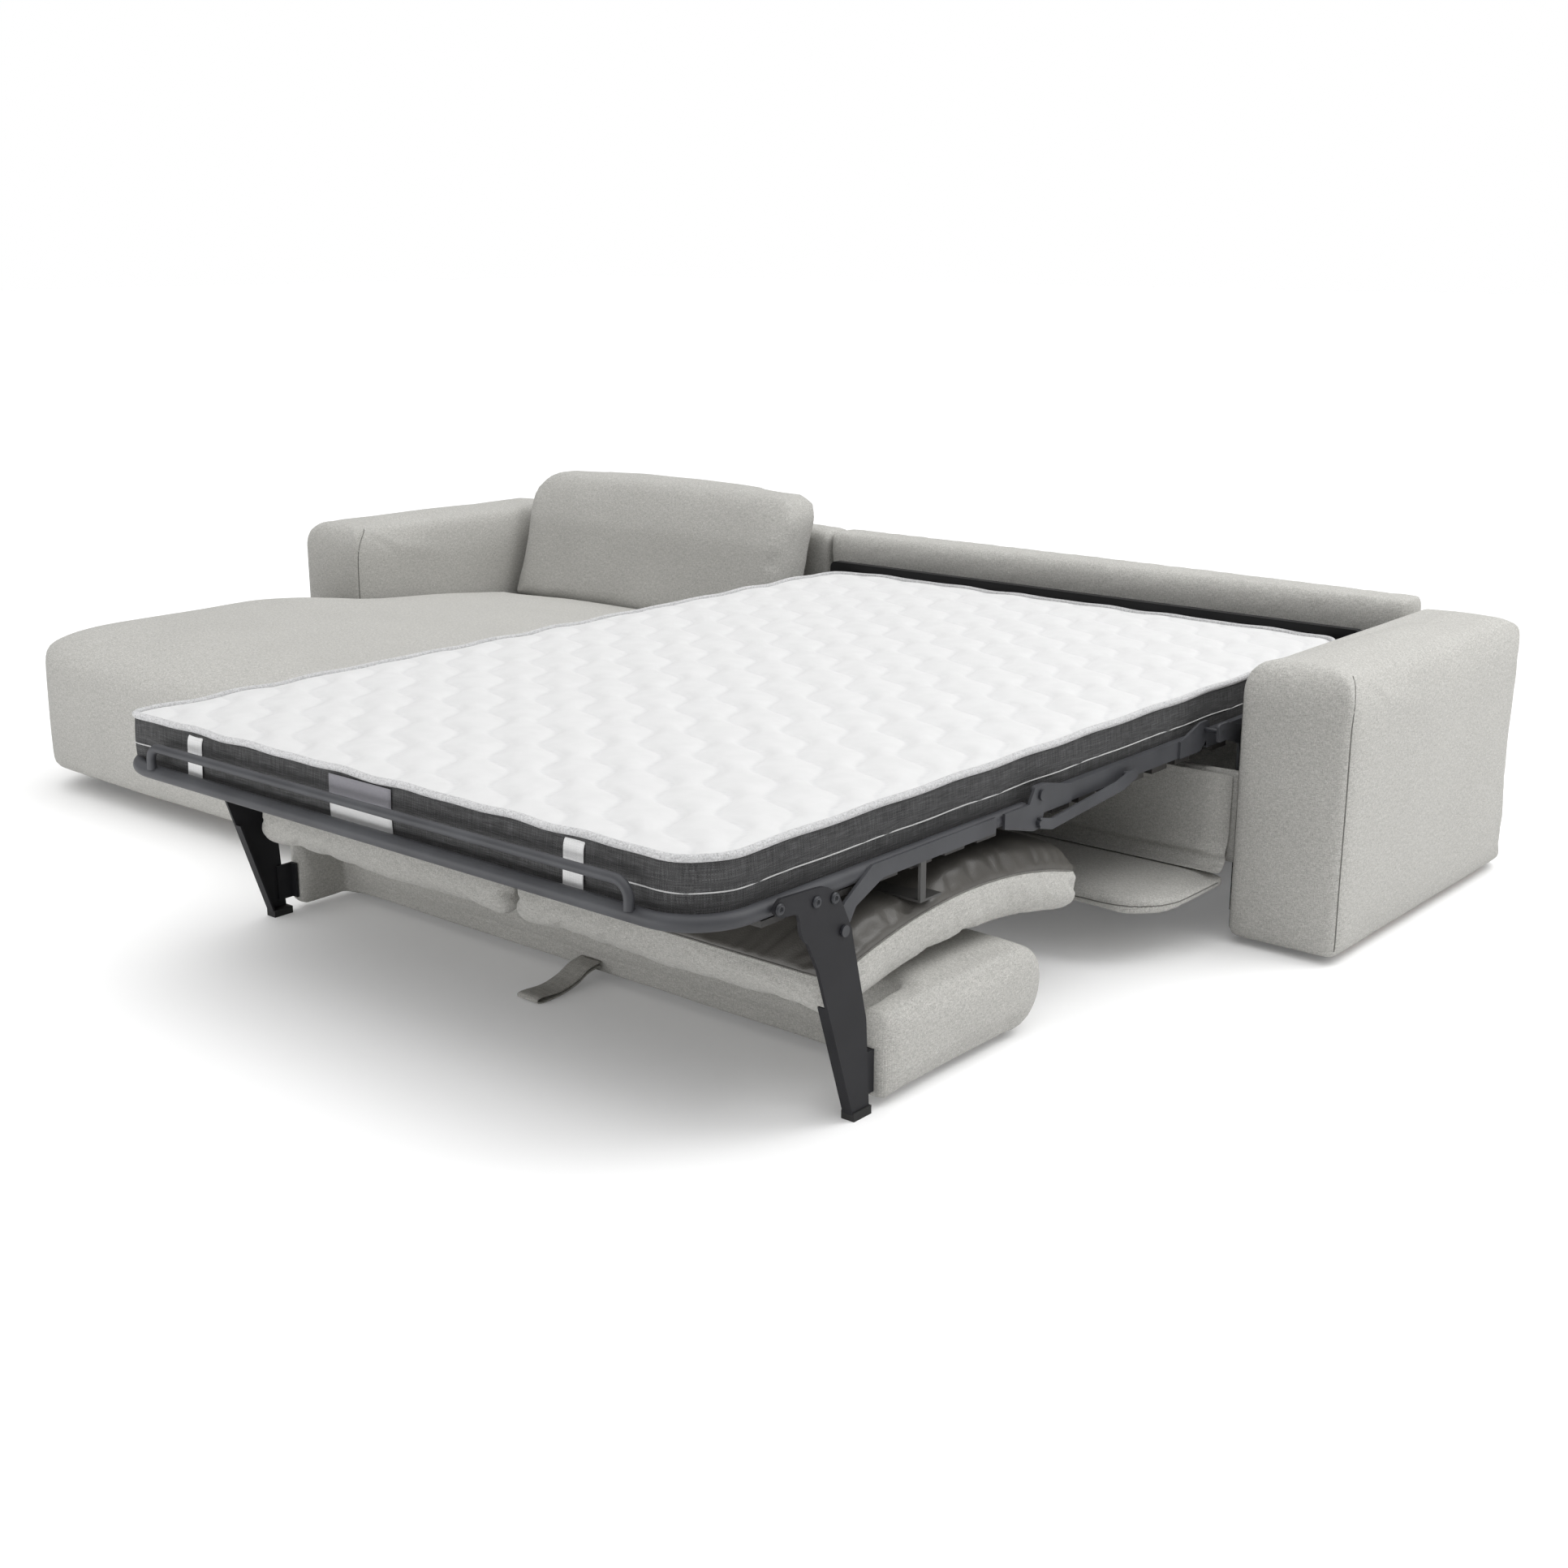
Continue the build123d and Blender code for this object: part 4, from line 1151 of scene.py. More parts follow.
@dataclass
class PaddedBlock:
    """One upholstered block: an even skin round its CAD solid, swollen by cloth and sewn."""

    name: str
    nodes: Sequence[str]
    body: Body
    voxel: float
    fills: Sequence[str] = ()
    boxes: Sequence[Box] = ()
    roundings: Sequence[Rounding] = ()
    settle: Optional[Callable[[np.ndarray], np.ndarray]] = None
    inset: float = 0.004
    proud: float = 0.002
    rounds: int = 3
    pressure: float = 3.0
    cap: float = 0.010
    slack: float = 0.0
    fill: float = 0.7
    pin_below: float = -1.0
    swell: tuple[float, float] = (0.0, 0.3)
    seams: Sequence[Seam] = ()
    seed: int = 1
    thing: Optional[bpy.types.Object] = field(default=None, init=False)

    def bounds(self) -> Box:
        """Work out the box of the block's nodes together.

        Returns:
            Its low and high corners.
        """
        boxes = [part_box(node) for node in self.nodes]
        low = np.min([np.array(box[0]) for box in boxes], axis=0)
        high = np.max([np.array(box[1]) for box in boxes], axis=0)
        return Vector(low), Vector(high)

    def shape(self) -> None:
        """Make the even skin, round it, draw it in and queue its cloth."""
        slip = Vector((0.002, 0.002, 0.0))
        hollows = [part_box(node) for node in self.fills]
        taken = [(low - slip, high + slip) for low, high in hollows] + list(self.boxes)
        self.thing = Shape.remeshed(self.name, () if self.boxes else self.nodes, taken, self.voxel)
        low, high = self.bounds()
        points = Shape.points(self.thing)
        for rounding in self.roundings:
            points = rounding.draw_in(points, (low, high))
        if self.settle is not None:
            points[:, 2] -= self.settle(points) * np.clip((points[:, 2] - low.z) / (high.z - low.z), 0, 1)
        Shape.set_points(self.thing, points)
        Shape.relax(self.thing, self.rounds)
        points = Shape.points(self.thing)
        height, length = self.swell
        lift = height * Shape.waves(points, length, self.seed) - self.inset
        Shape.set_points(self.thing, points + Shape.normals(self.thing) * lift[:, None])
        PRESS.add(ClothJob(self.thing, self.pins(points), self.pressure, self.cap, self.slack))

    def pins(self, points: np.ndarray) -> np.ndarray:
        """Choose the points that the cloth run holds: the underside and what lies near a seam.

        Args:
            points: the skin's points.

        Returns:
            1 for each held point and 0 for the rest.
        """
        held = np.where(points[:, 2] < self.pin_below, 1.0, 0.0)
        for seam in self.seams:
            line = Shape.smooth_path(seam.corners, 0.02)
            gap = np.full(len(points), 1.0)
            for start in range(0, len(points), 4000):
                part = points[start:start + 4000]
                gap[start:start + 4000] = np.min(np.linalg.norm(part[:, None] - line[None], axis=2), axis=1)
            held = np.maximum(held, np.where(gap < 1.6 * self.voxel, 1.0, 0.0))
        return held

    def fit(self) -> None:
        """Scale the skin to its nodes' box, a little proud of it at the top and sides."""
        low, high = (np.array(corner) for corner in self.bounds())
        low = low - (self.proud, self.proud, 0.0)
        high = high + self.proud
        points = Shape.points(self.thing)
        least, most = points.min(0), points.max(0)
        Shape.set_points(self.thing, low + (points - least) / (most - least) * (high - low))

    def finish(self) -> None:
        """Fit the swollen skin to its CAD solid, sew the seams and put the piece in its node's place."""
        Shape.relax(self.thing, 2, 0.4)
        self.fit()
        for seam in self.seams:
            seam.sew(self.thing, self.body)
        dress(self.thing, SOFA_CLOTH, self.body, Slot.FABRIC)
        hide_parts(*self.nodes)


@dataclass
class Upholstery:
    """All upholstered blocks of the sofa and the bed.

    The chaise's top sinks over seat_span, which is counted from the mattress's foot edge.
    """

    blocks: list[PaddedBlock] = field(default_factory=list)
    edge_inset: float = 0.006
    dart_drop: float = 0.03
    flap_corner: float = 0.03
    seat_drop: float = 0.078
    seat_span: tuple[float, float] = (1.06, 1.87)
    seat_curve: float = 1.15
    arm_gap: float = 0.001
    arm_overlap: float = 0.1

    def arm_seams(self, side: str) -> list[Seam]:
        """Place the sewn edges at the front of one arm, each ending in a short dart on the top.

        Args:
            side: left or right.

        Returns:
            The seam at its right edge and the one at its left.
        """
        low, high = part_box(f"{side}_arm_cover")
        seams = []
        for label, edge, inward in (("outer", high.x, -1.0), ("inner", low.x, 1.0)):
            corner = edge + inward * self.edge_inset
            front = low.y + self.edge_inset
            top = high.z - self.dart_drop
            seams.append(
                Seam(
                    f"{side}_arm_{label}_seam",
                    [
                        (corner, front, low.z + 0.02), (corner, front, 0.3), (corner, front, top - 0.08),
                        (corner + inward * 0.006, front + 0.012, top - 0.02),
                        (corner + inward * 0.03, front + 0.045, top + 0.012),
                    ],
                )
            )
        return seams

    def flap_seam(self) -> Seam:
        """Place the sewn edge round the flap's two ends and its front.

        Returns:
            The seam.
        """
        low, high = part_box("flap_pad")
        middle_z, turn = (low.z + high.z) / 2, self.flap_corner
        half = [
            (high.x, high.y - 0.02, middle_z), (high.x, low.y + 3 * turn, middle_z),
            (high.x, low.y + turn, middle_z),
            (high.x - 0.3 * turn, low.y + 0.3 * turn, middle_z), (high.x - turn, low.y, middle_z),
            (high.x - 3 * turn, low.y, middle_z),
        ]
        mirrored = [(low.x + high.x - x, y, z) for x, y, z in reversed(half)]
        return Seam("flap_seam", half + mirrored, depth=0.0025, width=0.007)

    def arm(self, side: str, seed: int) -> PaddedBlock:
        """Return one arm: crisp sewn edges at its front, a long soft roll over its top and rear.

        Args:
            side: left or right.
            seed: sets its slight unevenness.

        Returns:
            The block.
        """
        node = f"{side}_arm_cover"
        roundings = [
            Rounding((0.016, 0.016, 0.0), (0.016, 0.0, 0.0)),
            Rounding((0.05, 0.0, 0.0), (0.05, 0.09, 0.0)),
            Rounding((0.045, 0.045, 0.025), (0.06, 0.12, 0.075), power=8.0),
        ]
        if side == "left":
            roundings = [rounding.mirrored() for rounding in roundings]
        return PaddedBlock(
            f"{side}_arm", [node], Body.SOFA, 0.010, boxes=[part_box(node)], cap=0.006, pin_below=0.03,
            pressure=3.0, roundings=roundings, seams=self.arm_seams(side), seed=seed, swell=(0.0008, 0.35),
            inset=0.003, rounds=1,
        )

    def seat_fall(self, points: np.ndarray) -> np.ndarray:
        """Work out how far the chaise's top sinks towards its rear.

        Args:
            points: the skin's points.

        Returns:
            The fall at each point.
        """
        start, end = (BED.foot_y + place for place in self.seat_span)
        return self.seat_drop * np.clip((points[:, 1] - start) / (end - start), 0, 1) ** self.seat_curve

    def chaise(self) -> PaddedBlock:
        """Describe the chaise's seat: pillowy in front of the left arm, with a lower deck at its rear.

        Returns:
            The block.
        """
        low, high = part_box("chaise_seat")
        arm_low, arm_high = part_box("left_arm_cover")
        cushion_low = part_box("chaise_back_cushion")[0]
        inner = Vector((arm_high.x + 0.0003, arm_low.y - self.arm_overlap, low.z))
        boxes = [
            (low, Vector((high.x, arm_low.y - self.arm_gap, high.z))),
            (inner, Vector((high.x, cushion_low.y, high.z))),
            (inner, Vector((high.x, high.y, cushion_low.z))),
        ]
        roundings = [
            Rounding((0.17, 0.19, 0.0), (0.05, 0.0, 0.0)),
            Rounding((0.30, 0.25, 0.045), (0.10, 0.0, 0.12), power=8.0),
        ]
        return PaddedBlock(
            "chaise", ["chaise_seat"], Body.SOFA, 0.013, boxes=boxes, roundings=roundings,
            settle=self.seat_fall, cap=0.009, pin_below=0.03, pressure=2.5, seed=5, swell=(0.002, 0.5),
            rounds=4, fill=0.75,
        )

    def plan(self) -> None:
        """List the blocks with their softness and seams."""
        cushion_rounding = Rounding((0.05, 0.04, 0.0), (0.03, 0.0, 0.05), lean=0.1)
        self.blocks = [
            self.arm("left", 3),
            self.arm("right", 4),
            self.chaise(),
            PaddedBlock(
                "chaise_cushion", ["chaise_back_cushion"], Body.SOFA, 0.010, roundings=[cushion_rounding],
                cap=0.008, pin_below=0.31, pressure=3.0, seed=6, swell=(0.0015, 0.25), rounds=4, fill=0.65,
            ),
            PaddedBlock(
                "chaise_back", ["chaise_back_panel"], Body.SOFA, 0.012, ["chaise_back_board"], cap=0.004,
                pin_below=0.035, pressure=1.5, inset=0.002, rounds=2, fill=0.8,
            ),
            PaddedBlock(
                "bed_back", ["bed_back_panel"], Body.SOFA, 0.009, ["bed_back_board"], cap=0.004,
                pin_below=0.035, pressure=1.5, inset=0.002, seed=8, swell=(0.0009, 0.03), rounds=2, fill=0.8,
            ),
            PaddedBlock(
                "box_front", ["box_front_panel"], Body.SOFA, 0.008, cap=0.003, pressure=1.0, inset=0.001,
                rounds=2, proud=0.0, fill=0.8,
            ),
            PaddedBlock(
                "flap", ["flap_pad"], Body.FLAP, 0.007, cap=0.006, pressure=2.0, inset=0.003, rounds=3,
                proud=0.0, fill=0.6, seams=[self.flap_seam()],
            ),
            PaddedBlock(
                "backrest_block", ["backrest"], Body.LEGS, 0.008, ["backrest_board"], cap=0.006, pressure=2.5,
                inset=0.003, seed=10, swell=(0.0006, 0.2), rounds=3, proud=0.0, fill=0.7,
            ),
        ]

    def shape(self) -> None:
        """Make every block's skin."""
        self.plan()
        for block in self.blocks:
            block.shape()

    def finish(self) -> None:
        """Sew and dress every block."""
        for block in self.blocks:
            block.finish()


@dataclass
class SeatPad:
    """One seat pad, carried upside down: dark lining above, sofa cloth below, with a sewn edge between."""

    side: str
    voxel: float = 0.007
    seam_drop: float = 0.022
    crown: float = 0.024
    cord: float = 0.0018
    pressed_y: float = -0.594
    pressed_width: float = 0.07
    inset: float = 0.002
    pressure: float = 3.5
    cap: float = 0.008
    slack: float = 0.03
    groove: tuple[float, float] = (0.003, 0.007)
    rounding: Rounding = Rounding((0.035, 0.04, 0.045), (0.035, 0.04, 0.026))
    thing: Optional[bpy.types.Object] = field(default=None, init=False)

    def nodes(self) -> tuple[str, str]:
        """Return the cushion's node and its board's."""
        return f"seat_pad_{self.side}", f"pad_board_{self.side}"

    def crest(self, y: np.ndarray) -> np.ndarray:
        """Return the height of the pad's arched upper face along the bed.

        Args:
            y: places along the bed.

        Returns:
            The heights.
        """
        places = Shape.points(frame["nodes"][self.nodes()[1]])
        start, end, top = places[:, 1].min(), places[:, 1].max(), places[:, 2].max()
        edge = places[np.abs(places[:, 1] - start) < 0.004][:, 2].max()
        arch = top - edge
        radius = (((end - start) / 2) ** 2 + arch**2) / (2 * arch)
        offset = y - (start + end) / 2
        return top - radius + np.sqrt(np.maximum(radius**2 - offset**2, 0))

    def dome(self, points: np.ndarray) -> np.ndarray:
        """Return how far the lining is pushed up at each point: 0 at the pad's edge and under the flat bar.

        Args:
            points: the skin's points, laid flat along the arch.

        Returns:
            The share of the full crown.
        """
        low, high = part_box(self.nodes()[0])
        x = np.clip(2 * (points[:, 0] - low.x) / (high.x - low.x) - 1, -1, 1)
        y = np.clip(2 * (points[:, 1] - low.y) / (high.y - low.y) - 1, -1, 1)
        pressed = 1 - np.exp(-(((points[:, 1] - self.pressed_y) / self.pressed_width) ** 2))
        return (1 - x**12) * (1 - y**12) * pressed * np.clip(1 + points[:, 2] / self.seam_drop, 0, 1)

    def shape(self) -> None:
        """Make the pad's skin round its cushion and board, and queue its cloth."""
        self.thing = Shape.remeshed(f"seat_pad_{self.side}_skin", self.nodes(), [], self.voxel)
        points = Shape.points(self.thing)
        points[:, 2] -= self.crest(points[:, 1])
        points = self.rounding.draw_in(points, (Vector(points.min(0)), Vector(points.max(0))))
        points[:, 2] += self.crest(points[:, 1])
        Shape.set_points(self.thing, points)
        Shape.relax(self.thing, 2)
        points = Shape.points(self.thing)
        Shape.set_points(self.thing, points - Shape.normals(self.thing) * self.inset)
        depth = self.crest(points[:, 1]) - points[:, 2]
        held = np.where(np.abs(depth - self.seam_drop) < self.voxel, 1.0, 0.0)
        PRESS.add(ClothJob(self.thing, held, self.pressure, self.cap, self.slack))

    def finish(self) -> None:
        """Cut the skin along the sewn edge, dress both sides of it and lay the seam."""
        self.thing.data.materials.append(SOFA_CLOTH.material())
        self.thing.data.materials.append(LINING.material())
        Shape.relax(self.thing, 1, 0.4)
        points = Shape.points(self.thing)
        flat = points.copy()
        flat[:, 2] -= self.crest(points[:, 1])
        Shape.set_points(self.thing, flat)
        work = bmesh.new()
        work.from_mesh(self.thing.data)
        everything = work.verts[:] + work.edges[:] + work.faces[:]
        middle, up = (0, 0, -self.seam_drop), (0, 0, 1)
        cut = bmesh.ops.bisect_plane(work, geom=everything, plane_co=middle, plane_no=up)
        for face in work.faces:
            face.material_index = int(face.calc_center_median().z > -self.seam_drop)
            face.smooth = True
        edges = [item for item in cut["geom_cut"] if isinstance(item, bmesh.types.BMEdge)]
        loop = self.walk(edges)
        work.to_mesh(self.thing.data)
        work.free()
        points = Shape.points(self.thing)
        depth, width = self.groove
        dip = depth * np.exp(-(((points[:, 2] + self.seam_drop) / width) ** 2))
        upright = np.clip(1.3 - np.abs(Shape.normals(self.thing)[:, 2]) * 1.3, 0, 1)
        points -= Shape.normals(self.thing) * (dip * upright)[:, None]
        points[:, 2] += self.crown * self.dome(points) + self.crest(points[:, 1])
        Shape.set_points(self.thing, points)
        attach(self.thing, Body.FOOT.value)
        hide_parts(*self.nodes())
        LOG.info("piece %s", self.thing.name)
        loop[:, 2] += self.crest(loop[:, 1])
        search = Shape.tree(self.thing)
        laid = np.array([search.find_nearest(Vector(point))[0] for point in loop])
        for _ in range(4):
            laid = 0.25 * np.roll(laid, 1, axis=0) + 0.5 * laid + 0.25 * np.roll(laid, -1, axis=0)
        welt = Shape.sweep(f"seat_pad_{self.side}_welt", laid, self.cord, True, 6)
        dress(welt, SEAM_CLOTH, Body.FOOT, Slot.FABRIC)

    @staticmethod
    def walk(edges: Sequence[bmesh.types.BMEdge]) -> np.ndarray:
        """Follow some edges from end to end.

        Args:
            edges: the edges that a cut has made.

        Returns:
            Every second point of the longest line that they make, in order.
        """
        linked: dict[int, list[bmesh.types.BMVert]] = {}
        places: dict[int, tuple[float, float, float]] = {}
        for edge in edges:
            for one, other in (edge.verts, reversed(edge.verts)):
                linked.setdefault(id(one), []).append(other)
                places[id(one)] = tuple(one.co)
        longest: list[tuple[float, float, float]] = []
        seen: set[int] = set()
        for edge in edges:
            here, line = edge.verts[0], []
            while here is not None and id(here) not in seen:
                seen.add(id(here))
                line.append(places[id(here)])
                here = next((other for other in linked[id(here)] if id(other) not in seen), None)
            if len(line) > len(longest):
                longest = line
        return np.array(longest)[::2].copy()


@dataclass
class Mattress:
    """The quilted mattress: white top, dark border, mesh piping and a white cord round the border."""

    cell: float = 0.007
    corner: float = 0.092
    tight_corner: float = 0.02
    lower_edge: float = 0.012
    bulge: float = 0.003
    rim_z: float = 0.4680
    crown: float = 0.003
    puff: float = 0.008
    column: float = 0.1251
    row: float = 0.1112
    quilt_start: tuple[float, float] = (0.0023, -0.2497)
    sway: float = 0.205
    piping: float = 0.0062
    lower_piping: float = 0.004
    cord: float = 0.0012
    border_rows: int = 12
    rim_band: float = 0.06
    pucker: float = 0.0016
    edge_rise: tuple[float, float] = (0.0013, 0.0011)
    fold_reach: float = 0.13

    def corner_at(self, x: np.ndarray, y: np.ndarray) -> np.ndarray:
        """Return the plan radius of the nearest corner: the foot end's left one is tighter."""
        return np.where((x < 0) & (y < 0), self.tight_corner, self.corner)

    def quilt(self, x: np.ndarray, y: np.ndarray) -> np.ndarray:
        """Return how far each place stands from the stitched lines, from 0 on a line to 1 between two.

        The lines run diagonally in waves, and each line's waves are half a wave on from its neighbours'.

        Args:
            x: places across, in the frame.
            y: places along, in the frame.

        Returns:
            The share of the full puff.
        """
        across = (x - self.quilt_start[0]) / self.column
        along = (y - self.quilt_start[1]) / self.row
        level = across + along + self.sway
        wave = -self.sway * np.cos(math.pi * (across - along))
        share = np.zeros_like(level)
        for step in (-1, 0, 1):
            line = np.floor(level) + step
            shift = wave * (1 - 2 * (line % 2))
            start, end = line - shift, line + 1 + shift
            share = np.where((level >= start) & (level < end), (level - start) / (end - start), share)
        return 1 - np.abs(2 * share - 1) ** 2

    def outline(self, x: np.ndarray, y: np.ndarray) -> tuple[np.ndarray, np.ndarray, np.ndarray, np.ndarray]:
        """Round a rectangle's corners.

        Args:
            x: places across, from the bed's middle.
            y: places along, from the bed's middle.

        Returns:
            The moved places and the outward direction at each.
        """
        radius = self.corner_at(x, y)
        core_x, core_y = BED.half_width - radius, BED.length / 2 - radius
        over_x = np.sign(x) * np.maximum(np.abs(x) - core_x, 0)
        over_y = np.sign(y) * np.maximum(np.abs(y) - core_y, 0)
        reach = np.maximum(np.abs(over_x), np.abs(over_y))
        size = np.maximum(np.hypot(over_x, over_y), 1e-9)
        out_x, out_y = over_x / size, over_y / size
        base_x, base_y = x - over_x, y - over_y
        return base_x + out_x * reach, base_y + out_y * reach, out_x, out_y

    def edge_wave(self, x: np.ndarray, y: np.ndarray) -> np.ndarray:
        """Return how the sewn edge rises and falls round the mattress."""
        first, second = self.edge_rise
        return first * np.sin(x * 47.0 + 0.8) * np.sin(y * 39.0 + 0.4) + second * np.sin((x - y) * 31.0)

    def skin(self) -> tuple[np.ndarray, list[tuple[int, ...]], np.ndarray]:
        """Return the mattress's closed skin.

        Returns:
            Its points, its faces and a 0 for each face of the top or 1 for each of the border.
        """
        half_x, half_y = BED.half_width, BED.length / 2
        height = self.rim_z - BED.bottom_z
        nx, ny, nz = round(2 * half_x / self.cell), round(2 * half_y / self.cell), self.border_rows
        index: dict[tuple[int, int, int], int] = {}
        lattice: list[tuple[int, int, int]] = []
        faces, kinds = [], []

        def spot(i: int, j: int, k: int) -> int:
            """Number one place of the lattice.

            Args:
                i: steps across.
                j: steps along.
                k: steps up.

            Returns:
                The number of the point there.
            """
            if (i, j, k) not in index:
                index[i, j, k] = len(lattice)
                lattice.append((i, j, k))
            return index[i, j, k]

        for i in range(nx):
            for j in range(ny):
                faces.append((spot(i, j, nz), spot(i + 1, j, nz), spot(i + 1, j + 1, nz), spot(i, j + 1, nz)))
                kinds.append(0)
                faces.append((spot(i, j, 0), spot(i, j + 1, 0), spot(i + 1, j + 1, 0), spot(i + 1, j, 0)))
                kinds.append(1)
        for k in range(nz):
            for i in range(nx):
                faces.append((spot(i, 0, k), spot(i + 1, 0, k), spot(i + 1, 0, k + 1), spot(i, 0, k + 1)))
                faces.append((spot(i + 1, ny, k), spot(i, ny, k), spot(i, ny, k + 1), spot(i + 1, ny, k + 1)))
                kinds += [1, 1]
            for j in range(ny):
                faces.append((spot(0, j + 1, k), spot(0, j, k), spot(0, j, k + 1), spot(0, j + 1, k + 1)))
                faces.append((spot(nx, j, k), spot(nx, j + 1, k), spot(nx, j + 1, k + 1), spot(nx, j, k + 1)))
                kinds += [1, 1]
        grid = np.array(lattice, float)
        side_x, side_y = grid[:, 0] / nx * 2 - 1, grid[:, 1] / ny * 2 - 1
        x, y, out_x, out_y = self.outline(side_x * half_x, side_y * half_y)
        share = grid[:, 2] / nz
        band = self.rim_band
        rim_x = np.maximum(np.abs(side_x) - 1 + band / half_x, 0) * half_x / band
        rim_y = np.maximum(np.abs(side_y) - 1 + band / half_y, 0) * half_y / band
        rim = np.maximum(rim_x, rim_y)
        inside = np.maximum(self.lower_edge - share * height, 0)
        roll = self.lower_edge - np.sqrt(self.lower_edge**2 - np.minimum(inside, self.lower_edge) ** 2)
        bulge = self.bulge * (np.sin(math.pi * share) - 1)
        draw = (bulge - roll) * rim**2
        x, y = x + out_x * draw, y + out_y * draw
        z = BED.bottom_z + share * height
        top = share > 0.999
        crown = self.crown * (1 - (x / half_x) ** 4) * (1 - (y / half_y) ** 4)
        frame_x, frame_y = x + BED.middle_x, y + BED.foot_y + half_y
        puffed = self.puff * self.quilt(frame_x, frame_y) * (1 - np.clip(rim, 0, 1))
        z = z + np.where(top, crown + puffed, 0.0)
        wave = self.edge_wave(frame_x, frame_y) * np.clip(rim, 0, 1) * np.clip((share - 0.4) / 0.6, 0, 1)
        pucker = self.pucker * np.sin((frame_x + frame_y) * 63.0) * np.sin((frame_x - frame_y) * 41.0 + 1.0)
        pucker = pucker * np.clip(rim, 0, 1) * np.sin(math.pi * share)
        points = np.stack([frame_x + out_x * pucker, frame_y + out_y * pucker, z + wave], axis=1)
        return points, faces, np.array(kinds)

    def ring(self, z: float, outwards: float, wave: float) -> np.ndarray:
        """Return a closed line round the mattress.

        Args:
            z: its height.
            outwards: how far outside the straight side it lies.
            wave: how much of the edge's rise and fall it takes.

        Returns:
            The line's points.
        """
        half_x, half_y = BED.half_width, BED.length / 2
        corners = []
        for turn in range(4):
            sx, sy = ((1, -1), (1, 1), (-1, 1), (-1, -1))[turn]
            corner = float(self.corner_at(np.array(sx), np.array(sy)))
            centre = np.array([sx * (half_x - corner), sy * (half_y - corner)])
            angles = np.linspace(-math.pi / 2, 0, 13) + turn * math.pi / 2
            corners += [centre + (corner + outwards) * np.array([math.cos(a), math.sin(a)]) for a in angles]
        loop = np.array(corners + corners[:1])
        run = np.concatenate([[0], np.cumsum(np.linalg.norm(np.diff(loop, axis=0), axis=1))])
        places = np.linspace(0, run[-1], int(run[-1] / 0.012), endpoint=False)
        x = np.interp(places, run, loop[:, 0]) + BED.middle_x
        y = np.interp(places, run, loop[:, 1]) + BED.foot_y + half_y
        return np.stack([x, y, z + wave * self.edge_wave(x, y)], axis=1)

    def build(self) -> None:
        """Make the whole mattress and cut it between the folds into two halves."""
        points, faces, kinds = self.skin()
        whole = Shape.from_lists("mattress_whole", points, faces)
        mesh = whole.data
        for finish in (TICKING, BORDER_CLOTH, PIPING_CLOTH, CORD_CLOTH):
            mesh.materials.append(finish.material())
        mesh.polygons.foreach_set("material_index", kinds.astype(np.int32))
        upper_line = self.ring(self.rim_z + 0.0008, -0.004, 1.0)
        lower_line = self.ring(BED.bottom_z + self.lower_piping + 0.001, -self.lower_edge + 0.002, 0.3)
        cord_line = self.ring(0.5 * (BED.bottom_z + self.rim_z), 0.0004, 0.7)
        upper = Shape.sweep("mattress_piping", upper_line, self.piping, True, 12)
        lower = Shape.sweep("mattress_lower_piping", lower_line, self.lower_piping, True, 10)
        cord = Shape.sweep("mattress_cord", cord_line, self.cord, True, 6)
        for part, place in ((upper, 2), (lower, 1), (cord, 3)):
            self.absorb(whole, part, place)
        self.mark(whole)
        self.halve(whole)

    @staticmethod
    def absorb(whole: bpy.types.Object, part: bpy.types.Object, place: int) -> None:
        """Join a ring to the mattress under one of its materials.

        Args:
            whole: the mattress.
            part: the ring, which goes.
            place: the material's number.
        """
        work = bmesh.new()
        work.from_mesh(whole.data)
        known = len(work.faces)
        work.from_mesh(part.data)
        work.faces.ensure_lookup_table()
        for face in work.faces[known:]:
            face.material_index = place
            face.smooth = True
        work.to_mesh(whole.data)
        work.free()
        bpy.data.objects.remove(part)

    def mark(self, whole: bpy.types.Object) -> None:
        """Store the quilting at each point: the ticking paints the stitched lines and the valleys round them
        darker from it, the thread's tone and painted shade.

        Args:
            whole: the mattress.
        """
        points = Shape.points(whole)
        value = self.quilt(points[:, 0], points[:, 1])
        marks = whole.data.attributes.new("quilt", "FLOAT", "POINT")
        marks.data.foreach_set("value", value.astype(np.float32))

    def halve(self, whole: bpy.types.Object) -> None:
        """Cut the mattress between the folds into two halves and keep its shading whole.

        Args:
            whole: the mattress, which goes.
        """
        split_y = (BED.foot_fold_y + BED.mid_fold_y) / 2
        work = bmesh.new()
        work.from_mesh(whole.data)
        everything = work.verts[:] + work.edges[:] + work.faces[:]
        bmesh.ops.bisect_plane(work, geom=everything, plane_co=(0, split_y, 0), plane_no=(0, 1, 0))
        work.to_mesh(whole.data)
        work.free()
        normals, places = Shape.normals(whole), Shape.points(whole)
        shading = {tuple(np.round(p, 5)): n for p, n in zip(places, normals)}
        front_nodes, rear_nodes = ("mattress_foot", "mattress_mid"), ("mattress_head",)
        halves = (
            ("mattress_front", 1.0, Body.FOOT, Body.MIDDLE, BED.foot_fold_y, front_nodes),
            ("mattress_rear", -1.0, Body.MIDDLE, Body.SOFA, BED.mid_fold_y, rear_nodes),
        )
        for name, sign, first, second, fold_y, nodes in halves:
            half = bpy.data.objects.new(name, whole.data.copy())
            bpy.context.scene.collection.objects.link(half)
            work = bmesh.new()
            work.from_mesh(half.data)
            gone = [f for f in work.faces if sign * (f.calc_center_median().y - split_y) > 0]
            bmesh.ops.delete(work, geom=gone, context="FACES")
            work.to_mesh(half.data)
            work.free()
            own = zip(Shape.points(half), Shape.normals(half))
            kept = [shading.get(tuple(np.round(p, 5)), n) for p, n in own]
            half.data.normals_split_custom_set_from_vertices([tuple(n) for n in kept])
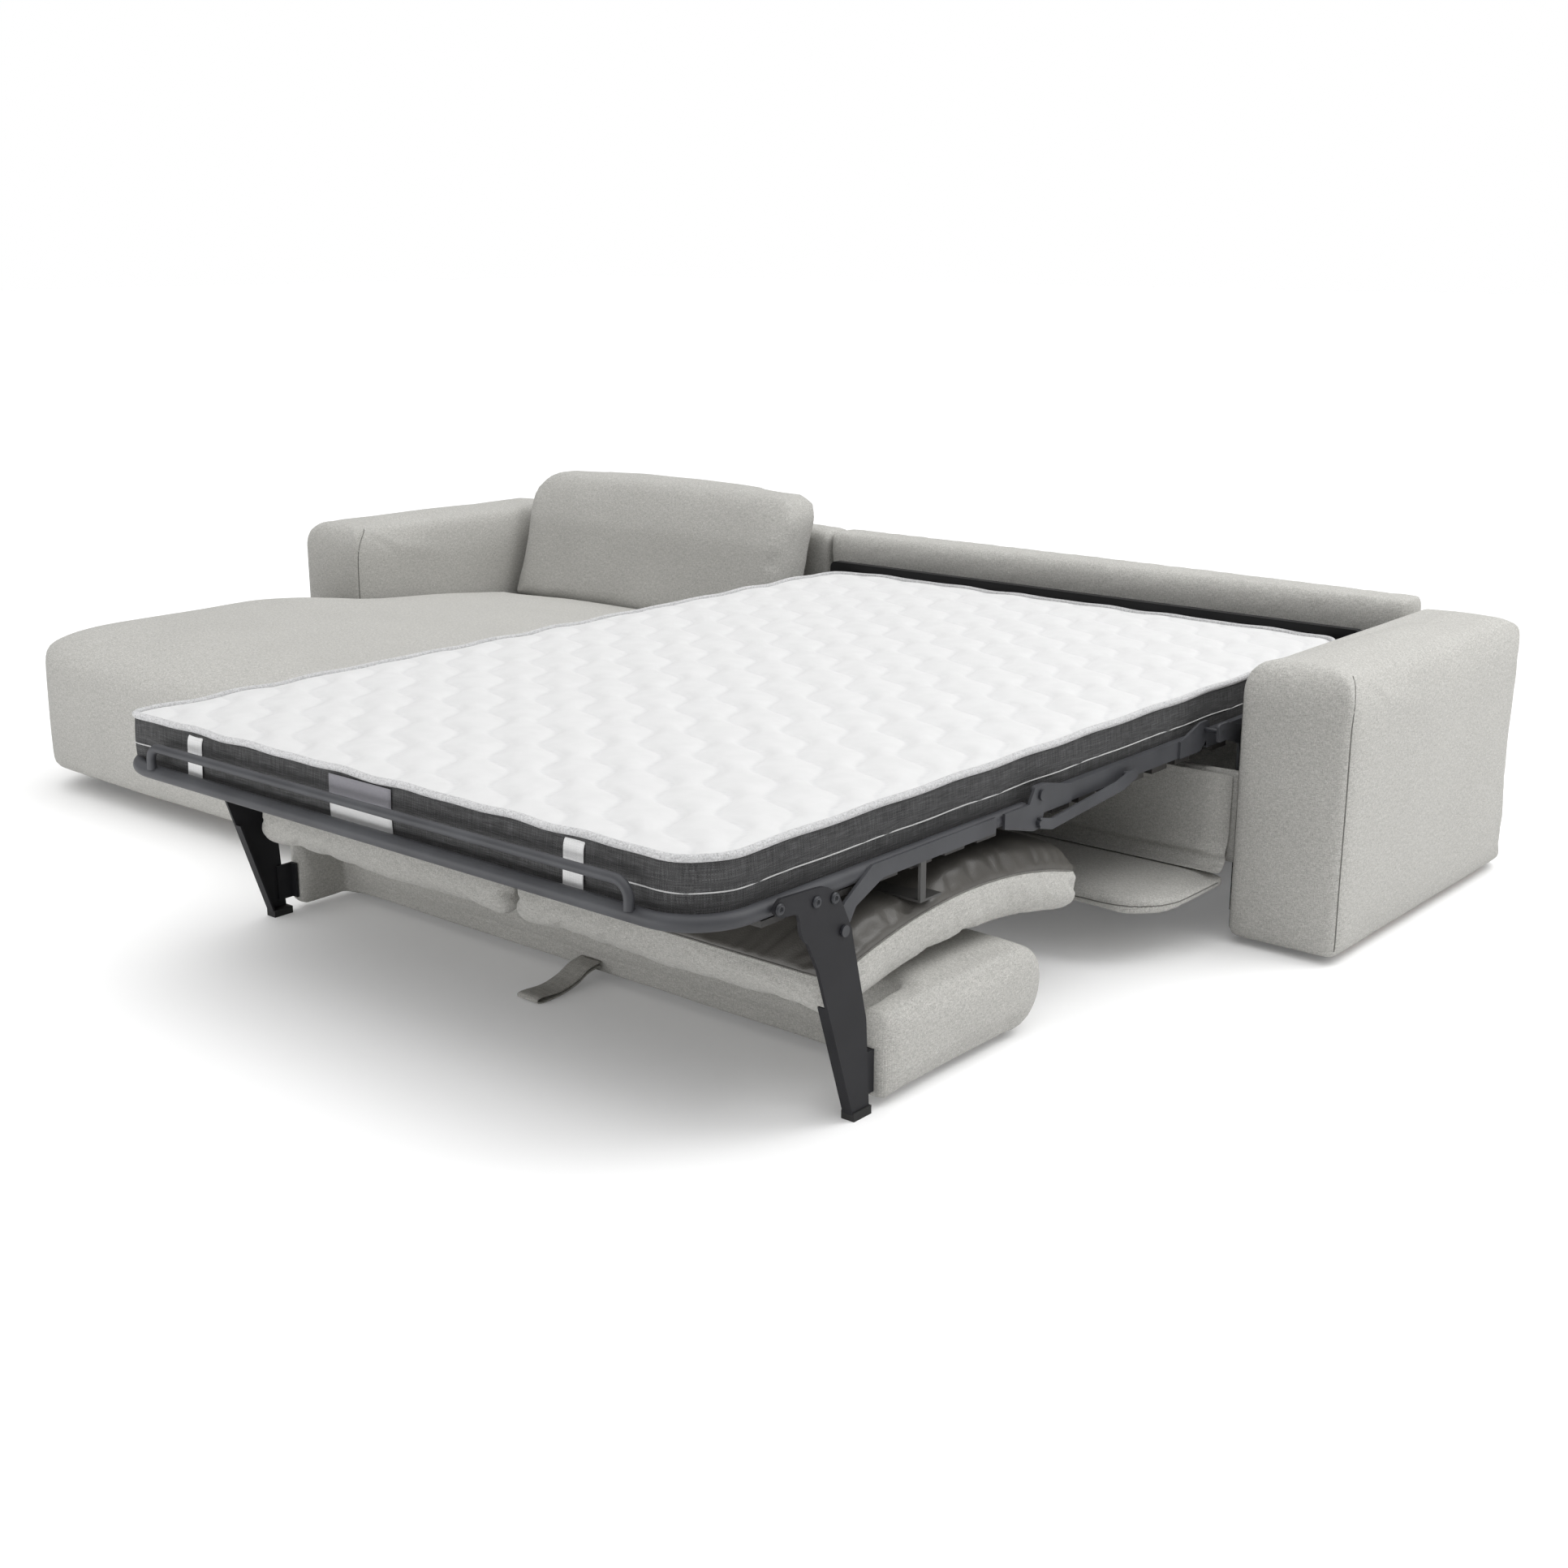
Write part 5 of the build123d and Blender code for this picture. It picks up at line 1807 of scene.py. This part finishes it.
            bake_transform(half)
            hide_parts(*nodes)
            LOG.info("piece %s between %s and %s", name, first.value, second.value)
        bpy.data.objects.remove(whole)


@dataclass
class FootTrim:
    """The elastic bands and the blank label at the mattress's foot end.

    A band's line is given by its distance behind the foot edge and its height.
    """

    band_places: tuple[float, float] = (0.0065, 0.9445)
    band_width: float = 0.042
    band_thick: float = 0.0018
    band_line: Sequence[tuple[float, float]] = (
        (0.024, 0.4655), (0.009, 0.4635), (-0.0005, 0.452), (-0.0028, 0.425), (-0.0042, 0.402),
        (-0.0052, 0.384),
    )
    label_low: tuple[float, float] = (0.3795, 0.380)
    label_high: tuple[float, float] = (0.5355, 0.460)
    label_cells: tuple[int, int] = (16, 10)
    label_lift: float = 0.0006
    label_thick: float = 0.0007
    label_swell: float = 0.0012

    def bands(self) -> None:
        """Make the two bands from the mattress's upper edge down to the tube."""
        for label, x in zip(("left", "right"), self.band_places):
            path = Shape.smooth_path([(x, BED.foot_y + y, z) for y, z in self.band_line], 0.004)
            band = Shape.ribbon(f"elastic_{label}", path, -1.0, self.band_width, self.band_thick)
            dress(band, ELASTIC_CLOTH, Body.FOOT, Slot.ELASTIC)
            if label == "right":
                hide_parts("elastic_straps")

    def label(self) -> None:
        """Make the blank two-tone label on the border."""
        (x0, z0), (x1, z1) = self.label_low, self.label_high
        nx, nz = self.label_cells
        points, faces = [], []
        for depth in (0.0, self.label_thick):
            for k in range(nz + 1):
                for i in range(nx + 1):
                    share = k / nz
                    y = BED.foot_y - self.label_lift - depth - self.label_swell * math.sin(math.pi * share)
                    points.append((x0 + (x1 - x0) * i / nx, y, z0 + (z1 - z0) * share))
        size = (nx + 1) * (nz + 1)
        kinds = []
        for k in range(nz):
            for i in range(nx):
                a, b = k * (nx + 1) + i, (k + 1) * (nx + 1) + i
                faces.append((a + size, a + 1 + size, b + 1 + size, b + size))
                faces.append((a, b, b + 1, a + 1))
                kinds += [0 if k >= nz // 2 else 1] * 2
        for i in range(nx):
            faces.append((i, i + 1, i + 1 + size, i + size))
            last = nz * (nx + 1) + i
            faces.append((last + 1, last, last + size, last + 1 + size))
            kinds += [1, 0]
        for k in range(nz):
            a, b = k * (nx + 1), (k + 1) * (nx + 1)
            faces.append((b, a, a + size, b + size))
            faces.append((a + nx, b + nx, b + nx + size, a + nx + size))
            kinds += [0 if k >= nz // 2 else 1] * 2
        patch = Shape.from_lists("mattress_label", np.array(points), faces)
        Shape.face_outwards(patch)
        dress(patch, LABEL_GREY, Body.FOOT, Slot.ELASTIC)
        patch.data.materials.append(LABEL_WHITE.material())
        patch.data.polygons.foreach_set("material_index", kinds)

    def build(self) -> None:
        """Make the bands and the label."""
        self.bands()
        self.label()


@dataclass
class HingeCloth:
    """The strip of sofa cloth that covers the hinge between the seat box's front and the flap."""

    thick: float = 0.0016
    margin: float = 0.001

    def build(self) -> None:
        """Make the strip from the panel's upper edge over the hinge to the flap's top."""
        panel, flap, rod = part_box("box_front_panel"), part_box("flap_pad"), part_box("flap_rod")
        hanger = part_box("flap_hangers")
        left, right = flap[0].x + self.margin, flap[1].x - self.margin
        x, front = (left + right) / 2, panel[0].y
        corners = [
            (x, front - 0.003, panel[1].z - 0.006), (x, front - 0.004, hanger[1].z + 0.08),
            (x, front - 0.0065, hanger[1].z + 0.025), (x, hanger[0].y - 0.002, hanger[1].z - 0.004),
            (x, rod[0].y - 0.001, rod[1].z + 0.0105), (x, flap[1].y - 0.014, flap[1].z - 0.0005),
            (x, flap[1].y - 0.034, flap[1].z + 0.0012),
        ]
        path = Shape.smooth_path(corners, 0.003)
        strip = Shape.ribbon("hinge_cloth", path, -1.0, right - left, self.thick)
        strip.data.materials.append(SOFA_CLOTH.material())
        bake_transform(strip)
        LOG.info("piece %s between %s and %s", strip.name, Body.SOFA.value, Body.FLAP.value)


@dataclass
class PullStrap:
    """The webbing loop that lies on the floor in front of the backrest block.

    Its line is given by its distance in front of the backrest's board and its height.
    """

    width: float = 0.052
    thick: float = 0.003
    line: Sequence[tuple[float, float]] = (
        (0.001, 0.030), (0.03, 0.026), (0.062, 0.012), (0.1, 0.0045), (0.14, 0.003), (0.156, 0.0075),
        (0.148, 0.0135), (0.1, 0.0115), (0.06, 0.0195), (0.03, 0.033), (0.001, 0.038),
    )

    def build(self) -> None:
        """Make the loop: out along the floor and back over itself."""
        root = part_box("backrest_board")[0].y
        path = Shape.smooth_path([(BED.middle_x, root - out, height) for out, height in self.line], 0.004)
        strap = Shape.ribbon("pull_loop", path, 1.0, self.width, self.thick)
        dress(strap, WEBBING_CLOTH, Body.LEGS, Slot.WEBBING)
        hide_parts("pull_strap")


@dataclass
class Rivets:
    """Domed tubular rivet heads on the legs.

    Their places are counted from the leg's pivot to the rear and up, in quarters of the leg's foot.
    """

    radius: float = 0.009
    height: float = 0.0045
    sides: int = 24
    sunk: float = 0.004
    quarter: float = 0.0095
    places: Sequence[tuple[float, float]] = ((-6.7, 6.4), (-2.3, 5.9), (-15.3, 7.5))

    def head(self, name: str, place: Sequence[float], side: float, body: Body) -> bpy.types.Object:
        """Make one head.

        Args:
            name: its name.
            place: the middle of its seat.
            side: 1 where it faces +X, -1 where it faces -X.
            body: the body that it rides on.

        Returns:
            The piece.
        """
        r, h, sides = self.radius, self.height, self.sides
        profile = [
            (r, 0.0), (r, 0.35 * h), (0.93 * r, 0.7 * h), (0.76 * r, 0.95 * h), (0.6 * r, h),
            (0.45 * r, 0.93 * h), (0.4 * r, 0.6 * h), (0.36 * r, 0.3 * h), (0.0, 0.26 * h),
        ]
        x, y, z = place
        points = []
        for reach, lift in profile[:-1]:
            for k in range(sides):
                turn = 2 * math.pi * k / sides
                points.append((x + side * lift, y + reach * math.cos(turn), z + reach * math.sin(turn)))
        points.append((x + side * profile[-1][1], y, z))
        faces = []
        rings = len(profile) - 1
        for i in range(rings - 1):
            for k in range(sides):
                m = (k + 1) % sides
                faces.append((i * sides + k, i * sides + m, (i + 1) * sides + m, (i + 1) * sides + k))
        for k in range(sides):
            faces.append(((rings - 1) * sides + k, (rings - 1) * sides + (k + 1) % sides, len(points) - 1))
        faces.append(tuple(reversed(range(sides))))
        thing = Shape.from_lists(name, np.array(points), faces)
        Shape.face_outwards(thing)
        return dress(thing, RIVET_STEEL, body, Slot.PINS)

    def build(self) -> None:
        """Put a domed head on every rivet of the CAD frame that shows."""
        _, pivot_y, pivot_z = next(joint["pos_m"] for joint in frame["joints"] if joint["name"] == "leg_fold")
        seat = BED.middle_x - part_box("leg_rivets")[0].x - self.sunk
        for label, side in (("left", -1.0), ("right", 1.0)):
            for number, (dy, dz) in enumerate(self.places):
                x = BED.middle_x + side * seat
                spot = (x, pivot_y + dy * self.quarter, pivot_z + dz * self.quarter)
                self.head(f"leg_rivet_{label}_{number}", spot, side, Body.LEGS)
        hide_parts("leg_rivets")


@dataclass(frozen=True)
class RigidDressing:
    """Finishes and softened edges for the CAD nodes that stay as they are."""

    crease: float = math.radians(40)

    def plan(self) -> dict[str, tuple[Finish, Edge]]:
        """List the CAD nodes that show.

        Returns:
            Each node's finish and edges.
        """
        groups: list[tuple[Finish, Edge, Sequence[str]]] = [
            (CHARCOAL, Edge.BENT, (
                "pivot_plate_left", "pivot_plate_right", "head_rails", "head_brackets", "mid_rails",
                "fold_lugs", "rear_lugs", "stop_arm_left", "stop_arm_right", "foot_frame", "stop_bar",
                "hinge_plates", "leg_carrier_left", "leg_carrier_right", "flap_hangers", "flap_leaves",
            )),
            # Painted shade: the legs and backrest brackets take a darker copy of the frame's charcoal coat.
            (SHADE_DARKENED_COAT, Edge.BENT, ("leg_left", "leg_right", "backrest_brackets")),
            (RIVET_STEEL, Edge.BENT, ("rear_pivot_pins", "fold_pins", "stop_studs", "leg_pins", "flap_rod")),
            (DARK_SLAT, Edge.ROUNDED, ("head_slats", "mid_slats", "foot_slats")),
            (PINE, Edge.SAWN, (
                "left_arm_frame", "right_arm_frame", "chaise_frame", "chaise_back_board", "bed_back_board",
                "box_feet",
            )),
            (BLACK_COAT, Edge.SAWN, ("box_side_left", "box_side_right")),
            (BLACK_COAT, Edge.ROUNDED, ("head_bar",)),
            (GREY_SHEET, Edge.BENT, ("pad_bar",)),
            (SOFA_CLOTH, Edge.WRAPPED, ("backrest_board",)),
            (RUBBER, Edge.MOULDED, ("leg_caps",)),
            (GLIDE, Edge.SAWN, ("glides",)),
        ]
        return {node: (finish, edge) for finish, edge, nodes in groups for node in nodes}

    def build(self) -> None:
        """Dress the nodes."""
        for node, (finish, edge) in self.plan().items():
            thing = frame["nodes"][node]
            thing.data.materials.clear()
            thing.data.materials.append(finish.material())
            softened = thing.modifiers.new("soft_edges", "BEVEL")
            softened.width = edge.value
            softened.segments = 2
            softened.limit_method = "ANGLE"
            softened.angle_limit = self.crease
            softened.harden_normals = False
            LOG.info("node %s takes %s", node, finish.name)


@dataclass(frozen=True)
class Studio:
    """Pale floor, soft light and the camera at the photograph's place.

    The surroundings brighten from overhead_start, the upward part of a direction, at the rate overhead_rise.
    """

    camera_place: tuple[float, float, float] = (2.94088, -2.98277, 1.30282)
    camera_yaw: float = 0.70068692
    camera_pitch: float = 0.27092776
    camera_lens: float = 45.76
    floor_reach: float = 40.0
    floor_colour: Colour = (0.89, 0.89, 0.89)
    floor_glow: float = 0.11
    horizon: float = 0.26
    right_side: float = 0.12
    overhead: float = 1.85
    overhead_start: float = 0.4
    overhead_rise: float = 2.0
    key_place: tuple[float, float, float] = (3.4, 1.8, 4.0)
    key_aim: tuple[float, float, float] = (0.5, -0.1, 0.47)
    key_power: float = 80.0
    side_place: tuple[float, float, float] = (4.3, 0.3, 1.5)
    side_aim: tuple[float, float, float] = (1.5, -0.1, 0.3)
    side_power: float = 11.0
    low_place: tuple[float, float, float] = (0.1, -2.7, 0.28)
    low_aim: tuple[float, float, float] = (0.5, -0.3, 0.2)
    low_power: float = 14.0
    light_size: float = 2.4

    def camera(self) -> None:
        """Set up the camera."""
        data = bpy.data.cameras.new("photo_camera")
        data.lens = self.camera_lens
        data.sensor_width = 36.0
        thing = bpy.data.objects.new("photo_camera", data)
        thing.location = self.camera_place
        thing.rotation_euler = (math.pi / 2 - self.camera_pitch, 0.0, self.camera_yaw)
        bpy.context.scene.collection.objects.link(thing)
        bpy.context.scene.camera = thing

    def floor(self) -> None:
        """Lay the floor."""
        far = self.floor_reach
        corners = np.array([(-far, -far, 0), (far, -far, 0), (far, far, 0), (-far, far, 0)])
        floor = Shape.from_lists("studio_floor", corners, [(0, 1, 2, 3)])
        material = bpy.data.materials.new("studio_floor")
        material.use_nodes = True
        surface = material.node_tree.nodes["Principled BSDF"]
        surface.inputs["Base Color"].default_value = (*self.floor_colour, 1.0)
        surface.inputs["Roughness"].default_value = 0.9
        surface.inputs["Specular IOR Level"].default_value = 0.1
        surface.inputs["Emission Color"].default_value = (1.0, 1.0, 1.0, 1.0)
        shader = ShaderTree(material.node_tree)
        seen = shader.add("ShaderNodeLightPath").outputs["Is Camera Ray"]
        shader.feed(surface.inputs["Emission Strength"], shader.math("MULTIPLY", seen, self.floor_glow))
        floor.data.materials.append(material)

    def soft_light(self, name: str, place: Sequence[float], aim: Sequence[float], power: float) -> None:
        """Hang one soft light.

        Args:
            name: its name.
            place: where it hangs.
            aim: what it is turned to.
            power: its strength in watts.
        """
        data = bpy.data.lights.new(name, "AREA")
        data.shape = "RECTANGLE"
        data.size = self.light_size
        data.size_y = min(self.light_size, 2 * place[2] - 0.05)
        data.energy = power
        thing = bpy.data.objects.new(name, data)
        thing.location = place
        thing.rotation_euler = (Vector(place) - Vector(aim)).to_track_quat("Z", "Y").to_euler()
        bpy.context.scene.collection.objects.link(thing)

    def world(self) -> None:
        """Set the surroundings: brighter overhead and on the right, and seen as plain white."""
        world = bpy.data.worlds.new("studio_world")
        world.use_nodes = True
        shader = ShaderTree(world.node_tree)
        direction = shader.add("ShaderNodeTexCoord").outputs["Generated"]
        x, _, z = shader.split(direction)
        above = shader.math("SUBTRACT", z, self.overhead_start)
        height = shader.math("MULTIPLY", above, self.overhead_rise, clamp=True)
        right = shader.math("MULTIPLY", shader.math("MAXIMUM", x, 0.0), self.right_side)
        light = shader.mix(height, shader.math("ADD", right, self.horizon), self.overhead)
        seen = shader.add("ShaderNodeLightPath").outputs["Is Camera Ray"]
        background = world.node_tree.nodes["Background"]
        background.inputs["Color"].default_value = (1.0, 1.0, 1.0, 1.0)
        shader.feed(background.inputs["Strength"], shader.mix(seen, light, 1.0))
        bpy.context.scene.world = world

    def build(self) -> None:
        """Set up the whole studio, with colours shown as they are."""
        bpy.context.scene.view_settings.view_transform = "Standard"
        self.camera()
        self.floor()
        self.world()
        self.soft_light("key_light", self.key_place, self.key_aim, self.key_power)
        self.soft_light("side_light", self.side_place, self.side_aim, self.side_power)
        self.soft_light("low_light", self.low_place, self.low_aim, self.low_power)


def main() -> None:
    """Build every piece in order."""
    logging.basicConfig(level=logging.INFO, format="%(name)s: %(message)s")
    Studio().build()
    upholstery = Upholstery()
    pads = [SeatPad("left"), SeatPad("right")]
    upholstery.shape()
    for pad in pads:
        pad.shape()
    PRESS.run()
    upholstery.finish()
    for pad in pads:
        pad.finish()
    Mattress().build()
    FootTrim().build()
    HingeCloth().build()
    PullStrap().build()
    Rivets().build()
    RigidDressing().build()


if __name__ == "__main__":
    main()
